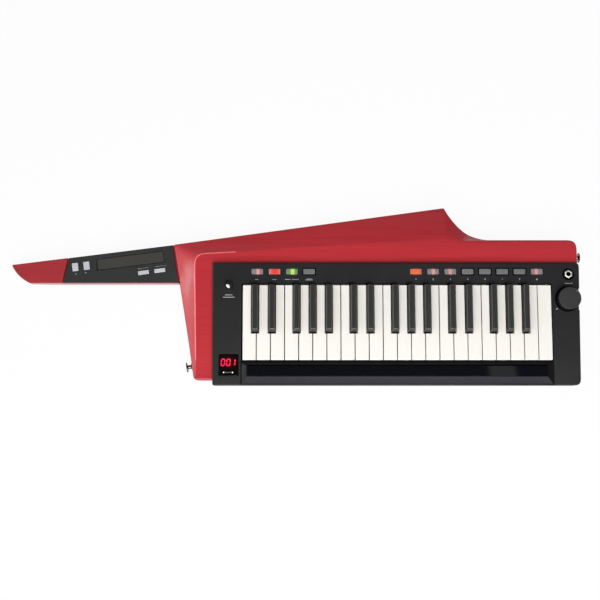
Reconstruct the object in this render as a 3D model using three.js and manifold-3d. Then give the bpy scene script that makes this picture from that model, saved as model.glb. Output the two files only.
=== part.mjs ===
// A shoulder keyboard: a carved wooden body with a neck, a moulded control panel, sprung keys on a hinge
// bar, a neck panel with its buttons, touch ribbons, a volume knob, a toggle, a phone jack and strap pins.
// Millimetres. +X runs from the head to the keys' right end, +Y to the fin, +Z out of the playing face.
import * as THREE from "three";
import { mergeVertices } from "three/addons/utils/BufferGeometryUtils.js";
import Module from "manifold-3d";

const wasm = await Module();
wasm.setup();

// Clearances and meshing
const SEAT_GAP = 0.3;
const CUT_OVERRUN = 2;
const WELD_TOLERANCE = 0.0001;
const ROUND_SIDES = 20;
const SMALL_ROUND_SIDES = 12;
const CORNER_STEPS = 4;
const ARC_STEPS = 8;
const SADDLE_STEPS = 6;
const EDGE_ROLL_SHARE = 0.3;

// Keyboard
const OCTAVE_COUNT = 3;
const OCTAVE_RUNS = [3, 4];
const KEY_PITCH = 20.26;
const KEY_GAP = 1.3;
const KEYS_LEFT_X = -75;
const KEYS_FRONT_Y = -95.3;
const WHITE_LENGTH = 107.9;
const WHITE_RISE = 6;
const WHITE_EDGE = 1;
const KEY_DEPTH = 14;
const KEY_WALL = 1.5;
const KEY_ROOF = 2.2;
const BLACK_WIDTH = 10.8;
const BLACK_TOP_WIDTH = 8.9;
const BLACK_GAP = 0.55;
const BLACK_LENGTH = 68.2;
const BLACK_RISE = 9;
const BLACK_SLOPE = 4.2;
const KEY_WEB = 8;
const KEY_SWING_DEG = 3;

// Hinge bar and the tails that straddle it
const PIVOT_BEHIND_KEYS = 21.4;
const PIVOT_BELOW_WHITES = 23;
const PIVOT_RADIUS = 2.4;
const TAIL_HALF_HEIGHT = 4.5;
const TAIL_OVERHANG = 5;
const RAIL_RIB = 2;
const FRAME_PLATE = 2;
const FRAME_BELOW_TAILS = 3.2;
const FRAME_MARGIN = 0.6;
const STOP_RAIL = 6;
const GUIDE_LENGTH = 4;
const GUIDE_FROM_FRONT = 4.5;
const GUIDE_CLEARANCE = 0.5;
const GUIDE_TOP_CLEARANCE = 0.8;

// Control panel
const PANEL_LEFT_CHEEK = 44.4;
const PANEL_RIGHT_CHEEK = 43.4;
const PANEL_LEFT_TAPER = 1.2;
const PANEL_RIGHT_TAPER = 2.6;
const PANEL_FRONT_RAIL = 36.3;
const PANEL_REAR_RAIL = 33.9;
const PANEL_RISE = 8;
const PANEL_WALL = 3;
const PANEL_EDGE = 2;
const PANEL_FRONT_CORNER = 9;
const PANEL_REAR_CORNER = 6;
const PANEL_LEFT_CORNER = 3;
const APRON_DEPTH = 12;
const WELL_SIDE_CLEARANCE = 1.9;
const WELL_FRONT_CLEARANCE = 1.7;
const WELL_REAR_CLEARANCE = 3;
const SEAM_WIDTH = 0.8;
const SEAM_DEPTH = 1;
const PANEL_BOSS_RADIUS = 3;
const PANEL_BOSS_INSET = 9;

// Long ribbon and its tray
const RIBBON_WIDTH = 15.2;
const RIBBON_THICKNESS = 1.2;
const RIBBON_END_MARGIN = 6;
const RIBBON_BEHIND_NOSE = 13.1;
const TRAY_DEPTH = 4.7;
const TRAY_REAR_SLOPE = 2.3;
const TRAY_FRONT_SLOPE = 10.2;
const TRAY_END_SLOPE = 6;

// Panel buttons
const BUTTON_LENGTH = 16.6;
const BUTTON_WIDTH = 7.8;
const BUTTON_RISE = 1;
const BUTTON_PITCH = 25.1;
const BUTTON_BEHIND_KEYS = 20.6;
const BUTTON_FLANGE = 1.3;
const BUTTON_FLANGE_THICKNESS = 1.4;
const BUTTON_TRAVEL = 0.8;
const BUTTON_PLAY = 0.35;
const BUTTON_STEM = 3;
const BUTTON_STEM_LENGTH = 1;
const FUNCTION_COUNT = 4;
const FUNCTION_FROM_KEYS_LEFT = 21;
const PROGRAM_COUNT = 8;
const PROGRAM_FROM_KEYS_RIGHT = 18.8;

// Circuit board
const BOARD_BELOW_PANEL = 9.9;
const BOARD_THICKNESS = 1.6;
const BOARD_EDGE_GAP = 1.5;
const BOARD_FRONT_MARGIN = 4;
const BOARD_PAST_KNOB = 14;
const SWITCH_WIDTH = 6;
const POT_RADIUS = 8;

// Volume knob
const KNOB_RADIUS = 16.5;
const KNOB_RISE = 14;
const KNOB_EDGE = 0.9;
const KNOB_FROM_PANEL_RIGHT = 18.6;
const KNOB_BELOW_KEYS_REAR = 19.5;
const KNOB_RECESS = 1.5;
const KNOB_RECESS_MARGIN = 1.6;
const KNOB_CAVITY_DEPTH = 6;
const KNOB_WALL = 2.5;
const KNOB_HUB_RADIUS = 6;
const SHAFT_RADIUS = 3;
const SHAFT_GRIP = 9;
const SHAFT_PLAY = 0.8;
const EDGE_NOTCH_DEPTH = 2.4;
const EDGE_NOTCH_HALF = 16;
const EDGE_NOTCH_HEIGHT = 5;
const EDGE_NOTCH_CORNER = 1.5;

// Toggle
const TOGGLE_FROM_PANEL_LEFT = 24.2;
const TOGGLE_BEHIND_KEYS = 0.8;
const TOGGLE_BUSH_RADIUS = 5.6;
const TOGGLE_BUSH_BORE = 3.9;
const TOGGLE_BUSH_RISE = 3.5;
const TOGGLE_LENGTH = 19;
const TOGGLE_ROOT_LENGTH = 2.6;
const TOGGLE_ROOT_RADIUS = 1.6;
const TOGGLE_TIP_RADIUS = 3.3;
const TOGGLE_TIP_EDGE = 1;
const TOGGLE_TILT_DEG = 12;
const TOGGLE_BODY_WIDTH = 8;
const TOGGLE_BODY_LENGTH = 13;

// Display window
const WINDOW_WIDTH = 28.6;
const WINDOW_LENGTH = 31.4;
const WINDOW_FROM_PANEL_LEFT = 10.2;
const WINDOW_FROM_PANEL_FRONT = 13.6;
const WINDOW_THICKNESS = 1.6;
const WINDOW_PROUD = 0.2;
const WINDOW_LEDGE = 2;

// Phone jack
const JACK_FROM_PANEL_RIGHT = 16.3;
const JACK_BEHIND_KEYS = 17;
const JACK_BODY = 13;
const JACK_BODY_DEPTH = 24;
const JACK_BARREL_RADIUS = 4.8;
const JACK_BORE_RADIUS = 3.3;
const JACK_BORE_DEPTH = 26;
const JACK_NUT_RADIUS = 6.1;
const JACK_NUT_HEIGHT = 2.4;
const JACK_RECESS_RADIUS = 8.8;

// Wooden body
const BODY_HEIGHT = 44;
const BODY_FLOOR = 10;
const BODY_BACK_EDGE = 4;
const BODY_TOP_EDGE = 1.5;
const BODY_FRONT_SETBACK = 7.7;
const BODY_REAR_MARGIN = 35;
const BODY_CORNER = 13;
const BODY_LEFT_CORNER = 7;
const BODY_LEFT_MARGIN = 26.4;
const SHOULDER_LEFT_MARGIN = 59.6;
const SHOULDER_BEHIND_PANEL = 30;
const PLATFORM_MARGIN = 27.2;
const PLATFORM_FRONT_MARGIN = 23.3;
const PLATFORM_CORNER = 16;
const PLATFORM_BEHIND_PANEL = 14.3;
const PLATFORM_TIP_DROP = 1;
const COVE_DEPTH = 12;
const COVE_STEEPNESS = 1;
const COVE_HOLLOW_SHARE = 0.4;
const COVE_RING_SHARES = [0, 0.4, 0.7, 0.88, 1];
const SHOULDER_SPREAD = 18;
const FIN_TIP_FROM_PANEL_RIGHT = 192.8;
const FIN_TIP_BEHIND_PANEL = 85.1;
const FIN_FOOT_FROM_TIP = 62;
const FIN_CURVE_FROM_TIP = 26;
const FIN_CURVE_ABOVE_FOOT = 3.5;
const BAY_GAP = 3.2;
const BAY_REAR_WALL = 4;
const LEG_POCKET_DEPTH = 24;
const LEG_POCKET_MARGIN = 5;

// Neck and head
const NECK_HEIGHT = 31;
const NECK_LENGTH = 238;
const NECK_RISE_DEG = 7.2;
const NECK_UNDER_PANEL_REAR = 27.2;
const NECK_BACK_EDGE = 9;
const NECK_TOP_EDGE = 0.8;
const NECK_ROOT = 22;
const HEAD_CURVE_LENGTH = 26.5;
const HEAD_CURVE_BULGE = 8;
const HEAD_CURVE_STEEP = 8.9;
const HEAD_TIP_WIDTH = 1.4;
const HEAD_RISE = 13;
const HEAD_LENGTH = 74.3;
const NECK_BACK_SHARE = 0.3;
const NECK_TOP_SHARE = 0.2;

// Neck panel, its ribbon and buttons
const NECK_PANEL_THICKNESS = 3.6;
const NECK_PANEL_LEAN = 7.5;
const NECK_PANEL_GAP = 1.5;
const NECK_PANEL_INSET = 0.4;
const NECK_PANEL_EDGE = 0.7;
const NECK_REBATE_BITE = 0.8;
const NECK_POCKET_MARGIN = 3.8;
const NECK_POCKET_DEPTH = 12;
const WIRE_CHANNEL = 6;
const WIRE_CHANNEL_ABOVE_NECK = 14;
const NECK_BUTTON_RISE = 1;
const SHORT_RIBBON_WIDTH = 15.4;
const SHORT_RIBBON_THICKNESS = 1.2;
const SHORT_RIBBON_DEPTH = 2.2;
const SHORT_RIBBON_BORDER = 2.6;
const SHORT_RIBBON_FRONT_BORDER = 1;
const SHORT_RIBBON_PAST_OCTAVES = 24.5;
const SHORT_RIBBON_FROM_SHOULDER = 14.9;
const SHORT_RIBBON_BELOW_REAR = 15.7;
const OCTAVE_BUTTON_LENGTH = 8.8;
const OCTAVE_BUTTON_WIDTH = 12;
const OCTAVE_BUTTON_PITCH = 16.6;
const OCTAVE_FROM_HEAD = 27.3;
const OCTAVE_BELOW_REAR = 15.27;
const MODE_BUTTON_LENGTH = 16;
const MODE_BUTTON_WIDTH = 5.8;
const MODE_BUTTON_PITCH = 23.9;
const MODE_FROM_SHOULDER = 31.8;
const MODE_ABOVE_NECK = 17.1;

// Battery cover
const COVER_LENGTH = 150;
const COVER_WIDTH = 76;
const COVER_THICKNESS = 2.5;
const COVER_RECESS = 0.5;
const COVER_LEDGE = 5;
const COVER_CORNER = 6;
const COVER_FROM_KEYS_LEFT = 150;
const GRIP_GROOVE_WIDTH = 1.4;
const GRIP_GROOVE_DEPTH = 0.8;
const GRIP_GROOVE_PITCH = 3;
const GRIP_GROOVE_COUNT = 5;
const GRIP_GROOVE_LENGTH = 24;
const GRIP_FROM_COVER_END = 10;

// Strap pins
const PIN_SHANK_RADIUS = 2;
const PIN_SHANK_LENGTH = 16;
const PIN_FELT_RADIUS = 6;
const PIN_FELT_THICKNESS = 1.6;
const PIN_WAIST_RADIUS = 3;
const PIN_FLANGE_RADIUS = 7.5;
const PIN_FLANGE_THICKNESS = 1.6;
const PIN_LENGTH = 9.6;
const PIN_HEIGHT = 18;
const LEFT_PIN_ABOVE_FRONT = 21;
const RIGHT_PIN_BEHIND_PANEL = 12.3;

// Places worked out along X and Y
const keyRuns = [...Array(OCTAVE_COUNT).fill(OCTAVE_RUNS).flat(), 1];
const whiteCount = keyRuns.reduce((sum, run) => sum + run);
const keysRightX = KEYS_LEFT_X + whiteCount * KEY_PITCH;
const keysRearY = KEYS_FRONT_Y + WHITE_LENGTH;
const blackFrontY = keysRearY - BLACK_LENGTH;
const pivotY = keysRearY + PIVOT_BEHIND_KEYS;
const tailEndY = pivotY + TAIL_OVERHANG;
const panelLeftX = KEYS_LEFT_X - PANEL_LEFT_CHEEK;
const panelRightX = keysRightX + PANEL_RIGHT_CHEEK;
const panelFrontY = KEYS_FRONT_Y - PANEL_FRONT_RAIL;
const panelRearY = keysRearY + PANEL_REAR_RAIL;
const wellLeftX = KEYS_LEFT_X - WELL_SIDE_CLEARANCE;
const wellRightX = keysRightX + WELL_SIDE_CLEARANCE;
const wellFrontY = KEYS_FRONT_Y - WELL_FRONT_CLEARANCE;
const wellRearY = keysRearY + WELL_REAR_CLEARANCE;
const bodyFrontY = panelFrontY + BODY_FRONT_SETBACK;
const bodyRearY = panelRearY + BODY_REAR_MARGIN;
const bodyRightX = panelRightX;
const buttonY = keysRearY + BUTTON_BEHIND_KEYS;
const functionFirstX = KEYS_LEFT_X + FUNCTION_FROM_KEYS_LEFT;
const programLastX = keysRightX - PROGRAM_FROM_KEYS_RIGHT;
const programFirstX = programLastX - (PROGRAM_COUNT - 1) * BUTTON_PITCH;
const knobX = panelRightX - KNOB_FROM_PANEL_RIGHT;
const knobY = keysRearY - KNOB_BELOW_KEYS_REAR;
const toggleX = panelLeftX + TOGGLE_FROM_PANEL_LEFT;
const toggleY = keysRearY + TOGGLE_BEHIND_KEYS;
const jackX = panelRightX - JACK_FROM_PANEL_RIGHT;
const jackY = keysRearY + JACK_BEHIND_KEYS;
const bayLeftX = KEYS_LEFT_X - BAY_GAP;
const bayRightX = keysRightX + BAY_GAP;
const bayFrontY = KEYS_FRONT_Y - BAY_GAP;
const bayRearY = panelRearY - BAY_REAR_WALL;

// Heights worked out from the back up
const panelTopZ = BODY_HEIGHT + PANEL_RISE;
const panelFootZ = BODY_HEIGHT + SEAT_GAP;
const panelRoofZ = panelTopZ - PANEL_WALL;
const whiteTopZ = panelTopZ + WHITE_RISE;
const blackTopZ = whiteTopZ + BLACK_RISE;
const keyFootZ = whiteTopZ - KEY_DEPTH;
const keyCeilingZ = whiteTopZ - KEY_ROOF;
const pivotZ = whiteTopZ - PIVOT_BELOW_WHITES;
const tailTopZ = pivotZ + TAIL_HALF_HEIGHT;
const tailFootZ = pivotZ - TAIL_HALF_HEIGHT;
const trayFloorZ = panelTopZ - TRAY_DEPTH;
const boardTopZ = panelTopZ - BOARD_BELOW_PANEL;
const boardFootZ = boardTopZ - BOARD_THICKNESS;
const frameFootZ = BODY_FLOOR + SEAT_GAP;
const frameTopZ = tailFootZ - FRAME_BELOW_TAILS;
const framePlateZ = frameTopZ - FRAME_PLATE;
const flangeTopZ = panelRoofZ - SEAT_GAP;
const flangeFootZ = flangeTopZ - BUTTON_FLANGE_THICKNESS;
const stemFootZ = flangeFootZ - BUTTON_STEM_LENGTH;
const switchTopZ = stemFootZ - BUTTON_TRAVEL - SEAT_GAP;
const neckPanelFootZ = NECK_HEIGHT - NECK_PANEL_THICKNESS;
const neckRebateZ = neckPanelFootZ - SEAT_GAP;

// Corners of the body and the neck
const shoulder = new THREE.Vector2(panelLeftX - SHOULDER_LEFT_MARGIN, panelRearY + SHOULDER_BEHIND_PANEL);
const bodyFrontLeft = new THREE.Vector2(panelLeftX - BODY_LEFT_MARGIN, bodyFrontY);
const finTip = new THREE.Vector2(panelRightX - FIN_TIP_FROM_PANEL_RIGHT, panelRearY + FIN_TIP_BEHIND_PANEL);
const finFoot = new THREE.Vector2(finTip.x + FIN_FOOT_FROM_TIP, bodyRearY);
const neckFrontY = panelRearY - NECK_UNDER_PANEL_REAR;
const neckSlope = Math.tan(THREE.MathUtils.degToRad(NECK_RISE_DEG));
const headTipX = shoulder.x - NECK_LENGTH;
const headEndX = headTipX + HEAD_LENGTH;
const leftEdgeSlope = (bodyFrontLeft.x - shoulder.x) / (bodyFrontLeft.y - shoulder.y);
const keySwing = THREE.MathUtils.degToRad(KEY_SWING_DEG);
const blackFrontLean = (whiteTopZ - pivotZ) * Math.sin(keySwing);

function leftEdgeX(y) {
  return shoulder.x + (y - shoulder.y) * leftEdgeSlope;
}

function neckRearY(x) {
  return shoulder.y + (x - shoulder.x) * neckSlope;
}

// Materials
function material(color, roughness, metalness = 0) {
  return new THREE.MeshStandardMaterial({ color, roughness, metalness });
}

const redLacquer = material(0xc0343c, 0.35);
const blackPlastic = material(0x26272a, 0.5);
const whitePlastic = material(0xf4f1e8, 0.3);
const keyBlack = material(0x2b2b2c, 0.4);
const ribbonBlack = material(0x07080f, 0.12);
const ribbonGrey = material(0x4c4a46, 0.5);
const windowBlack = material(0x0b0507, 0.1);
const clearCap = material(0x8a8c8c, 0.4);
const silverCap = material(0xbfc1c4, 0.35, 0.2);
const chrome = material(0xd8d8d6, 0.15, 1);
const boardGreen = material(0x1e5b3a, 0.6);
const frameGrey = material(0x6d7074, 0.6);

// Leaves out the triangles that a revolved shape folds flat on its axis.
function withoutSlivers(index) {
  const kept = [];
  for (let i = 0; i < index.length; i += 3) {
    const [a, b, c] = index.slice(i, i + 3);
    if (a !== b && b !== c && c !== a) kept.push(a, b, c);
  }
  return kept;
}

// Solids
function solid(geometry) {
  const bare = geometry.clone();
  bare.deleteAttribute("normal");
  bare.deleteAttribute("uv");
  const welded = mergeVertices(bare, WELD_TOLERANCE);
  const vertProperties = welded.attributes.position.array;
  const triVerts = Uint32Array.from(withoutSlivers(welded.index.array));
  return new wasm.Manifold(new wasm.Mesh({ numProp: 3, vertProperties, triVerts }));
}

function block(x0, x1, y0, y1, z0, z1) {
  const box = new THREE.BoxGeometry(x1 - x0, y1 - y0, z1 - z0);
  return solid(box.translate((x0 + x1) / 2, (y0 + y1) / 2, (z0 + z1) / 2));
}

function post(radius, x, y, z0, z1, sides = ROUND_SIDES) {
  const rod = new THREE.CylinderGeometry(radius, radius, z1 - z0, sides);
  return solid(rod.rotateX(Math.PI / 2).translate(x, y, (z0 + z1) / 2));
}

function plate(points, z0, z1) {
  const slab = new THREE.ExtrudeGeometry(new THREE.Shape(points), { depth: z1 - z0, bevelEnabled: false });
  return solid(slab.translate(0, 0, z0));
}

// Turns a shape drawn in Y and Z, and stacked along the third axis, so that it lies along X.
const alongX = new THREE.Matrix4().makeBasis(
  new THREE.Vector3(0, 1, 0),
  new THREE.Vector3(0, 0, 1),
  new THREE.Vector3(1, 0, 0),
);

function beam(profile, x0, x1) {
  const shape = new THREE.Shape(profile.map(([y, z]) => new THREE.Vector2(y, z)));
  const bar = new THREE.ExtrudeGeometry(shape, { depth: x1 - x0, bevelEnabled: false });
  return solid(bar.translate(0, 0, x0).applyMatrix4(alongX));
}

// The middle of a ring's points.
function ringMiddle(ring) {
  return ring.reduce((sum, point) => sum.add(point), new THREE.Vector3()).divideScalar(ring.length);
}

// Joins rings of equally many points, each counter-clockwise and above the last, into one closed solid.
// Each end is closed by a fan around the middle of its ring.
function loft(rings, placing = new THREE.Matrix4()) {
  const count = rings[0].length;
  const points = [...rings.flat(), ringMiddle(rings[0]), ringMiddle(rings.at(-1))];
  const top = points.length - 1;
  const bottom = top - 1;
  const lastRing = bottom - count;
  const faces = [];
  for (let i = 0; i < count; i++) {
    const next = (i + 1) % count;
    faces.push(bottom, next, i, top, lastRing + i, lastRing + next);
    for (let a = i, b = next; a < lastRing; a += count, b += count) {
      faces.push(a, b, b + count, a, b + count, a + count);
    }
  }
  const geometry = new THREE.BufferGeometry().setFromPoints(points);
  geometry.setIndex(faces);
  return solid(geometry.applyMatrix4(placing));
}

function raised(points, z) {
  return points.map((p) => new THREE.Vector3(p.x, p.y, z));
}

// The points of a rounded corner, from one straight side to the next.
function cornerArc(before, corner, after, radius) {
  const from = corner.clone().lerp(before, radius / corner.distanceTo(before));
  const to = corner.clone().lerp(after, radius / corner.distanceTo(after));
  return new THREE.QuadraticBezierCurve(from, corner, to).getPoints(CORNER_STEPS);
}

// A closed outline, counter-clockwise, from corners given as [x, y, radius].
function rounded(corners) {
  const spots = corners.map(([x, y]) => new THREE.Vector2(x, y));
  return corners.flatMap(([, , radius], i) =>
    radius > 0 ? cornerArc(spots.at(i - 1), spots[i], spots[(i + 1) % spots.length], radius) : [spots[i]],
  );
}

function rectangle(x0, x1, y0, y1, radius = 0) {
  return rounded([[x0, y0, radius], [x1, y0, radius], [x1, y1, radius], [x0, y1, radius]]);
}

// Moves each point of a counter-clockwise outline inwards, square to its two sides.
function inset(points, distance) {
  return points.map((point, i) => {
    const incoming = point.clone().sub(points.at(i - 1)).normalize();
    const outgoing = points[(i + 1) % points.length].clone().sub(point).normalize();
    const inwards = new THREE.Vector2(-incoming.y - outgoing.y, incoming.x + outgoing.x).normalize();
    const reach = distance / (incoming.x * inwards.y - incoming.y * inwards.x);
    return point.clone().addScaledVector(inwards, reach);
  });
}

function along(from, to, steps) {
  return Array.from({ length: steps + 1 }, (_, i) => from.clone().lerp(to, i / steps));
}

// A slab whose upper edge is rounded over in two steps.
function softSlab(points, z0, z1, edge) {
  return loft([
    raised(points, z0),
    raised(points, z1 - edge),
    raised(inset(points, edge * EDGE_ROLL_SHARE), z1 - edge * EDGE_ROLL_SHARE),
    raised(inset(points, edge), z1),
  ]);
}

function union(pieces) {
  return pieces.reduce((sum, piece) => sum.add(piece));
}

const group = new THREE.Group();

function addMesh(name, manifold, finish) {
  const { vertProperties, triVerts } = manifold.getMesh();
  const geometry = new THREE.BufferGeometry();
  geometry.setAttribute("position", new THREE.BufferAttribute(Float32Array.from(vertProperties), 3));
  geometry.setIndex(new THREE.BufferAttribute(Uint32Array.from(triVerts), 1));
  geometry.computeVertexNormals();
  const mesh = new THREE.Mesh(geometry, finish);
  mesh.name = name;
  group.add(mesh);
  return mesh;
}

// Neck and head: eight-sided sections along X, cut back under the head and brought to a blunt tip.
function neckSection(x, frontY, rearY) {
  const width = rearY - frontY;
  const back = Math.min(NECK_BACK_EDGE, width * NECK_BACK_SHARE);
  const top = Math.min(NECK_TOP_EDGE, width * NECK_TOP_SHARE);
  const footZ = HEAD_RISE * (Math.max(0, headEndX - x) / HEAD_LENGTH) ** 2;
  const corners = [
    [frontY + back, footZ],
    [rearY - back, footZ],
    [rearY, footZ + back],
    [rearY, NECK_HEIGHT - top],
    [rearY - top, NECK_HEIGHT],
    [frontY + top, NECK_HEIGHT],
    [frontY, NECK_HEIGHT - top],
    [frontY, footZ + back],
  ];
  return corners.map(([y, z]) => new THREE.Vector3(y, z, x));
}

function neckSolid() {
  const headCurve = new THREE.QuadraticBezierCurve(
    new THREE.Vector2(headTipX, neckRearY(headTipX) - HEAD_TIP_WIDTH),
    new THREE.Vector2(headTipX + HEAD_CURVE_BULGE, neckFrontY + HEAD_CURVE_STEEP),
    new THREE.Vector2(headTipX + HEAD_CURVE_LENGTH, neckFrontY),
  );
  const sections = headCurve.getPoints(ARC_STEPS).map((p) => neckSection(p.x, p.y, neckRearY(p.x)));
  const headMiddleX = (headTipX + HEAD_CURVE_LENGTH + headEndX) / 2;
  for (const x of [headMiddleX, headEndX, shoulder.x]) {
    sections.push(neckSection(x, neckFrontY, neckRearY(x)));
  }
  sections.push(neckSection(shoulder.x + NECK_ROOT, neckFrontY, shoulder.y));
  return loft(sections, alongX);
}

// The body's outer edge, paired point by point with the edge of its raised platform. Where the two lie far
// apart the wood falls away from the platform in a hollow cove, and elsewhere the top edge is only eased.
function bodyEdges() {
  const outer = [];
  const platform = [];
  const add = (outerPoints, platformPoints = []) => {
    outer.push(...outerPoints);
    outerPoints.forEach((_, i) => platform.push(platformPoints[i]));
  };
  const frontRight = new THREE.Vector2(bodyRightX, bodyFrontY);
  const rearRight = new THREE.Vector2(bodyRightX, bodyRearY);
  add(cornerArc(bodyFrontLeft, frontRight, rearRight, BODY_CORNER));
  add(cornerArc(frontRight, rearRight, finFoot, BODY_CORNER));

  const curveMiddle = new THREE.Vector2(finTip.x + FIN_CURVE_FROM_TIP, finFoot.y + FIN_CURVE_ABOVE_FOOT);
  const finCurve = new THREE.QuadraticBezierCurve(finFoot, curveMiddle, finTip);
  const platformFoot = new THREE.Vector2(finFoot.x, bodyRearY - BODY_TOP_EDGE);
  const platformTip = new THREE.Vector2(finTip.x, platformFoot.y - PLATFORM_TIP_DROP);
  add(finCurve.getPoints(ARC_STEPS), along(platformFoot, platformTip, ARC_STEPS));

  const bendCorner = new THREE.Vector2(panelLeftX - PLATFORM_MARGIN, panelRearY + PLATFORM_BEHIND_PANEL);
  const platformFront = new THREE.Vector2(panelLeftX - PLATFORM_FRONT_MARGIN, bodyFrontY + BODY_LEFT_CORNER);
  const bend = cornerArc(platformTip, bendCorner, platformFront, PLATFORM_CORNER);
  const nearShoulder = shoulder.clone().lerp(finTip, SHOULDER_SPREAD / shoulder.distanceTo(finTip));
  const addAlong = (outerEnds, platformEnds, steps) => {
    add(along(...outerEnds, steps).slice(1), along(...platformEnds, steps).slice(1));
  };
  addAlong([finTip, nearShoulder], [platformTip, bend[0]], ARC_STEPS);

  const leftEdge = shoulder.distanceTo(bodyFrontLeft);
  const belowShoulder = shoulder.clone().lerp(bodyFrontLeft, SHOULDER_SPREAD / leftEdge);
  const half = CORNER_STEPS / 2;
  add(along(nearShoulder, shoulder, half).slice(1), bend.slice(1));
  add(along(shoulder, belowShoulder, half).slice(1), bend.slice(1 + half));

  const frontCorner = cornerArc(shoulder, bodyFrontLeft, frontRight, BODY_LEFT_CORNER);
  addAlong([belowShoulder, frontCorner[0]], [bend.at(-1), platformFront], ARC_STEPS);
  add(frontCorner.slice(1));
  const easedEdge = inset(outer, BODY_TOP_EDGE);
  return { outer, platform: platform.map((point, i) => point ?? easedEdge[i]) };
}

function bodyBlank() {
  const { outer, platform } = bodyEdges();
  const level = (share) =>
    outer.map((point, i) => {
      const width = point.distanceTo(platform[i]);
      const depth = Math.min(COVE_DEPTH, width * COVE_STEEPNESS);
      const spot = point.clone().lerp(platform[i], share);
      const climb = share * (1 - COVE_HOLLOW_SHARE * (1 - share));
      return new THREE.Vector3(spot.x, spot.y, BODY_HEIGHT - depth * (1 - climb));
    });
  const rings = [raised(inset(outer, BODY_BACK_EDGE), 0), raised(outer, BODY_BACK_EDGE)];
  return loft([...rings, ...COVE_RING_SHARES.map(level)]).add(neckSolid());
}

// The neck panel's outline: the neck's own edges between the head and the body, drawn in by a margin.
function neckPanelOutline(leftGap, rightGap, edgeGap) {
  const frontY = neckFrontY + edgeGap;
  const rightX = (y) => leftEdgeX(y) - rightGap;
  const headWidth = neckRearY(headEndX) - neckFrontY;
  const leftX = (y) => headEndX + leftGap + ((y - neckFrontY) * NECK_PANEL_LEAN) / headWidth;
  const rearAt = (x) => neckRearY(x) - edgeGap;
  const rearRightX = rightX(rearAt(shoulder.x));
  const rearLeftX = leftX(rearAt(headEndX + NECK_PANEL_LEAN));
  return [
    [leftX(frontY), frontY],
    [rightX(frontY), frontY],
    [rearRightX, rearAt(rearRightX)],
    [rearLeftX, rearAt(rearLeftX)],
  ].map(([x, y]) => new THREE.Vector2(x, y));
}

// A flat piece on the neck, turned to follow the neck's rear edge about its own middle.
function onNeck(length, width, x, y, z0, z1, edge = 0) {
  const outline = rectangle(-length / 2, length / 2, -width / 2, width / 2, edge);
  const turn = Math.atan(neckSlope);
  outline.forEach((p) => p.rotateAround(new THREE.Vector2(), turn).add(new THREE.Vector2(x, y)));
  return plate(outline, z0, z1);
}

// A solid of revolution from [radius, height] points, standing on its axis.
function turned(profile, sides = ROUND_SIDES) {
  const points = profile.map(([radius, height]) => new THREE.Vector2(radius, height));
  return solid(new THREE.LatheGeometry(points, sides).rotateX(Math.PI / 2));
}

// Keys. In each run of white keys the black keys leave every white key the same width at the back.
function keyLayout() {
  const whites = [];
  const blacks = [];
  const slot = BLACK_WIDTH + 2 * BLACK_GAP;
  let runX = KEYS_LEFT_X;
  for (const run of keyRuns) {
    const backWidth = (run * KEY_PITCH - (run - 1) * slot) / run;
    for (let i = 0; i < run; i++) {
      const left = runX + i * KEY_PITCH + KEY_GAP / 2;
      const right = left + KEY_PITCH - KEY_GAP;
      const backLeft = runX + i * (backWidth + slot);
      const backRight = backLeft + backWidth;
      const last = i === run - 1;
      whites.push({ left, right, backLeft: i ? backLeft : left, backRight: last ? right : backRight });
      if (!last) blacks.push(backRight + slot / 2);
    }
    runX += run * KEY_PITCH;
  }
  return { whites, blacks };
}

// How far a point of a key drops between rest and its stop.
function keyDrop(y, z) {
  return (pivotY - y) * Math.sin(keySwing) + (z - pivotZ) * (1 - Math.cos(keySwing));
}

// A key's side view: the part that is played, the web behind it and the tail, whose slot straddles the bar.
function keyProfile(frontY) {
  const webFrontY = keysRearY - KEY_WEB;
  const slotRadius = PIVOT_RADIUS + SEAT_GAP;
  const saddle = Array.from({ length: SADDLE_STEPS + 1 }, (_, i) => {
    const angle = Math.PI * (1 - i / SADDLE_STEPS);
    return [pivotY + slotRadius * Math.cos(angle), pivotZ + slotRadius * Math.sin(angle)];
  });
  return [
    [frontY, keyFootZ],
    [webFrontY, keyFootZ],
    [webFrontY, tailFootZ],
    [pivotY - slotRadius, tailFootZ],
    ...saddle,
    [pivotY + slotRadius, tailFootZ],
    [tailEndY, tailFootZ],
    [tailEndY, tailTopZ],
    [keysRearY, tailTopZ],
    [keysRearY, whiteTopZ],
    [frontY + WHITE_EDGE, whiteTopZ],
    [frontY, whiteTopZ - WHITE_EDGE],
  ];
}

function keyHollow(left, right, frontY, rearY) {
  const inner = [left + KEY_WALL, right - KEY_WALL, frontY + KEY_WALL, rearY - KEY_WALL];
  return block(...inner, keyFootZ - CUT_OVERRUN, keyCeilingZ);
}

// A white key's head ends where a black key's front, as it swings down, still clears it.
function whiteKey({ left, right, backLeft, backRight }) {
  const shoulderY = blackFrontY - BLACK_GAP - blackFrontLean;
  const head = beam(
    [
      [KEYS_FRONT_Y, keyFootZ],
      [shoulderY, keyFootZ],
      [shoulderY, whiteTopZ],
      [KEYS_FRONT_Y + WHITE_EDGE, whiteTopZ],
      [KEYS_FRONT_Y, whiteTopZ - WHITE_EDGE],
    ],
    left,
    right,
  );
  return beam(keyProfile(KEYS_FRONT_Y), backLeft, backRight)
    .add(head)
    .subtract(keyHollow(left, right, KEYS_FRONT_Y, shoulderY))
    .subtract(keyHollow(backLeft, backRight, KEYS_FRONT_Y, keysRearY - KEY_WEB));
}

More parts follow.
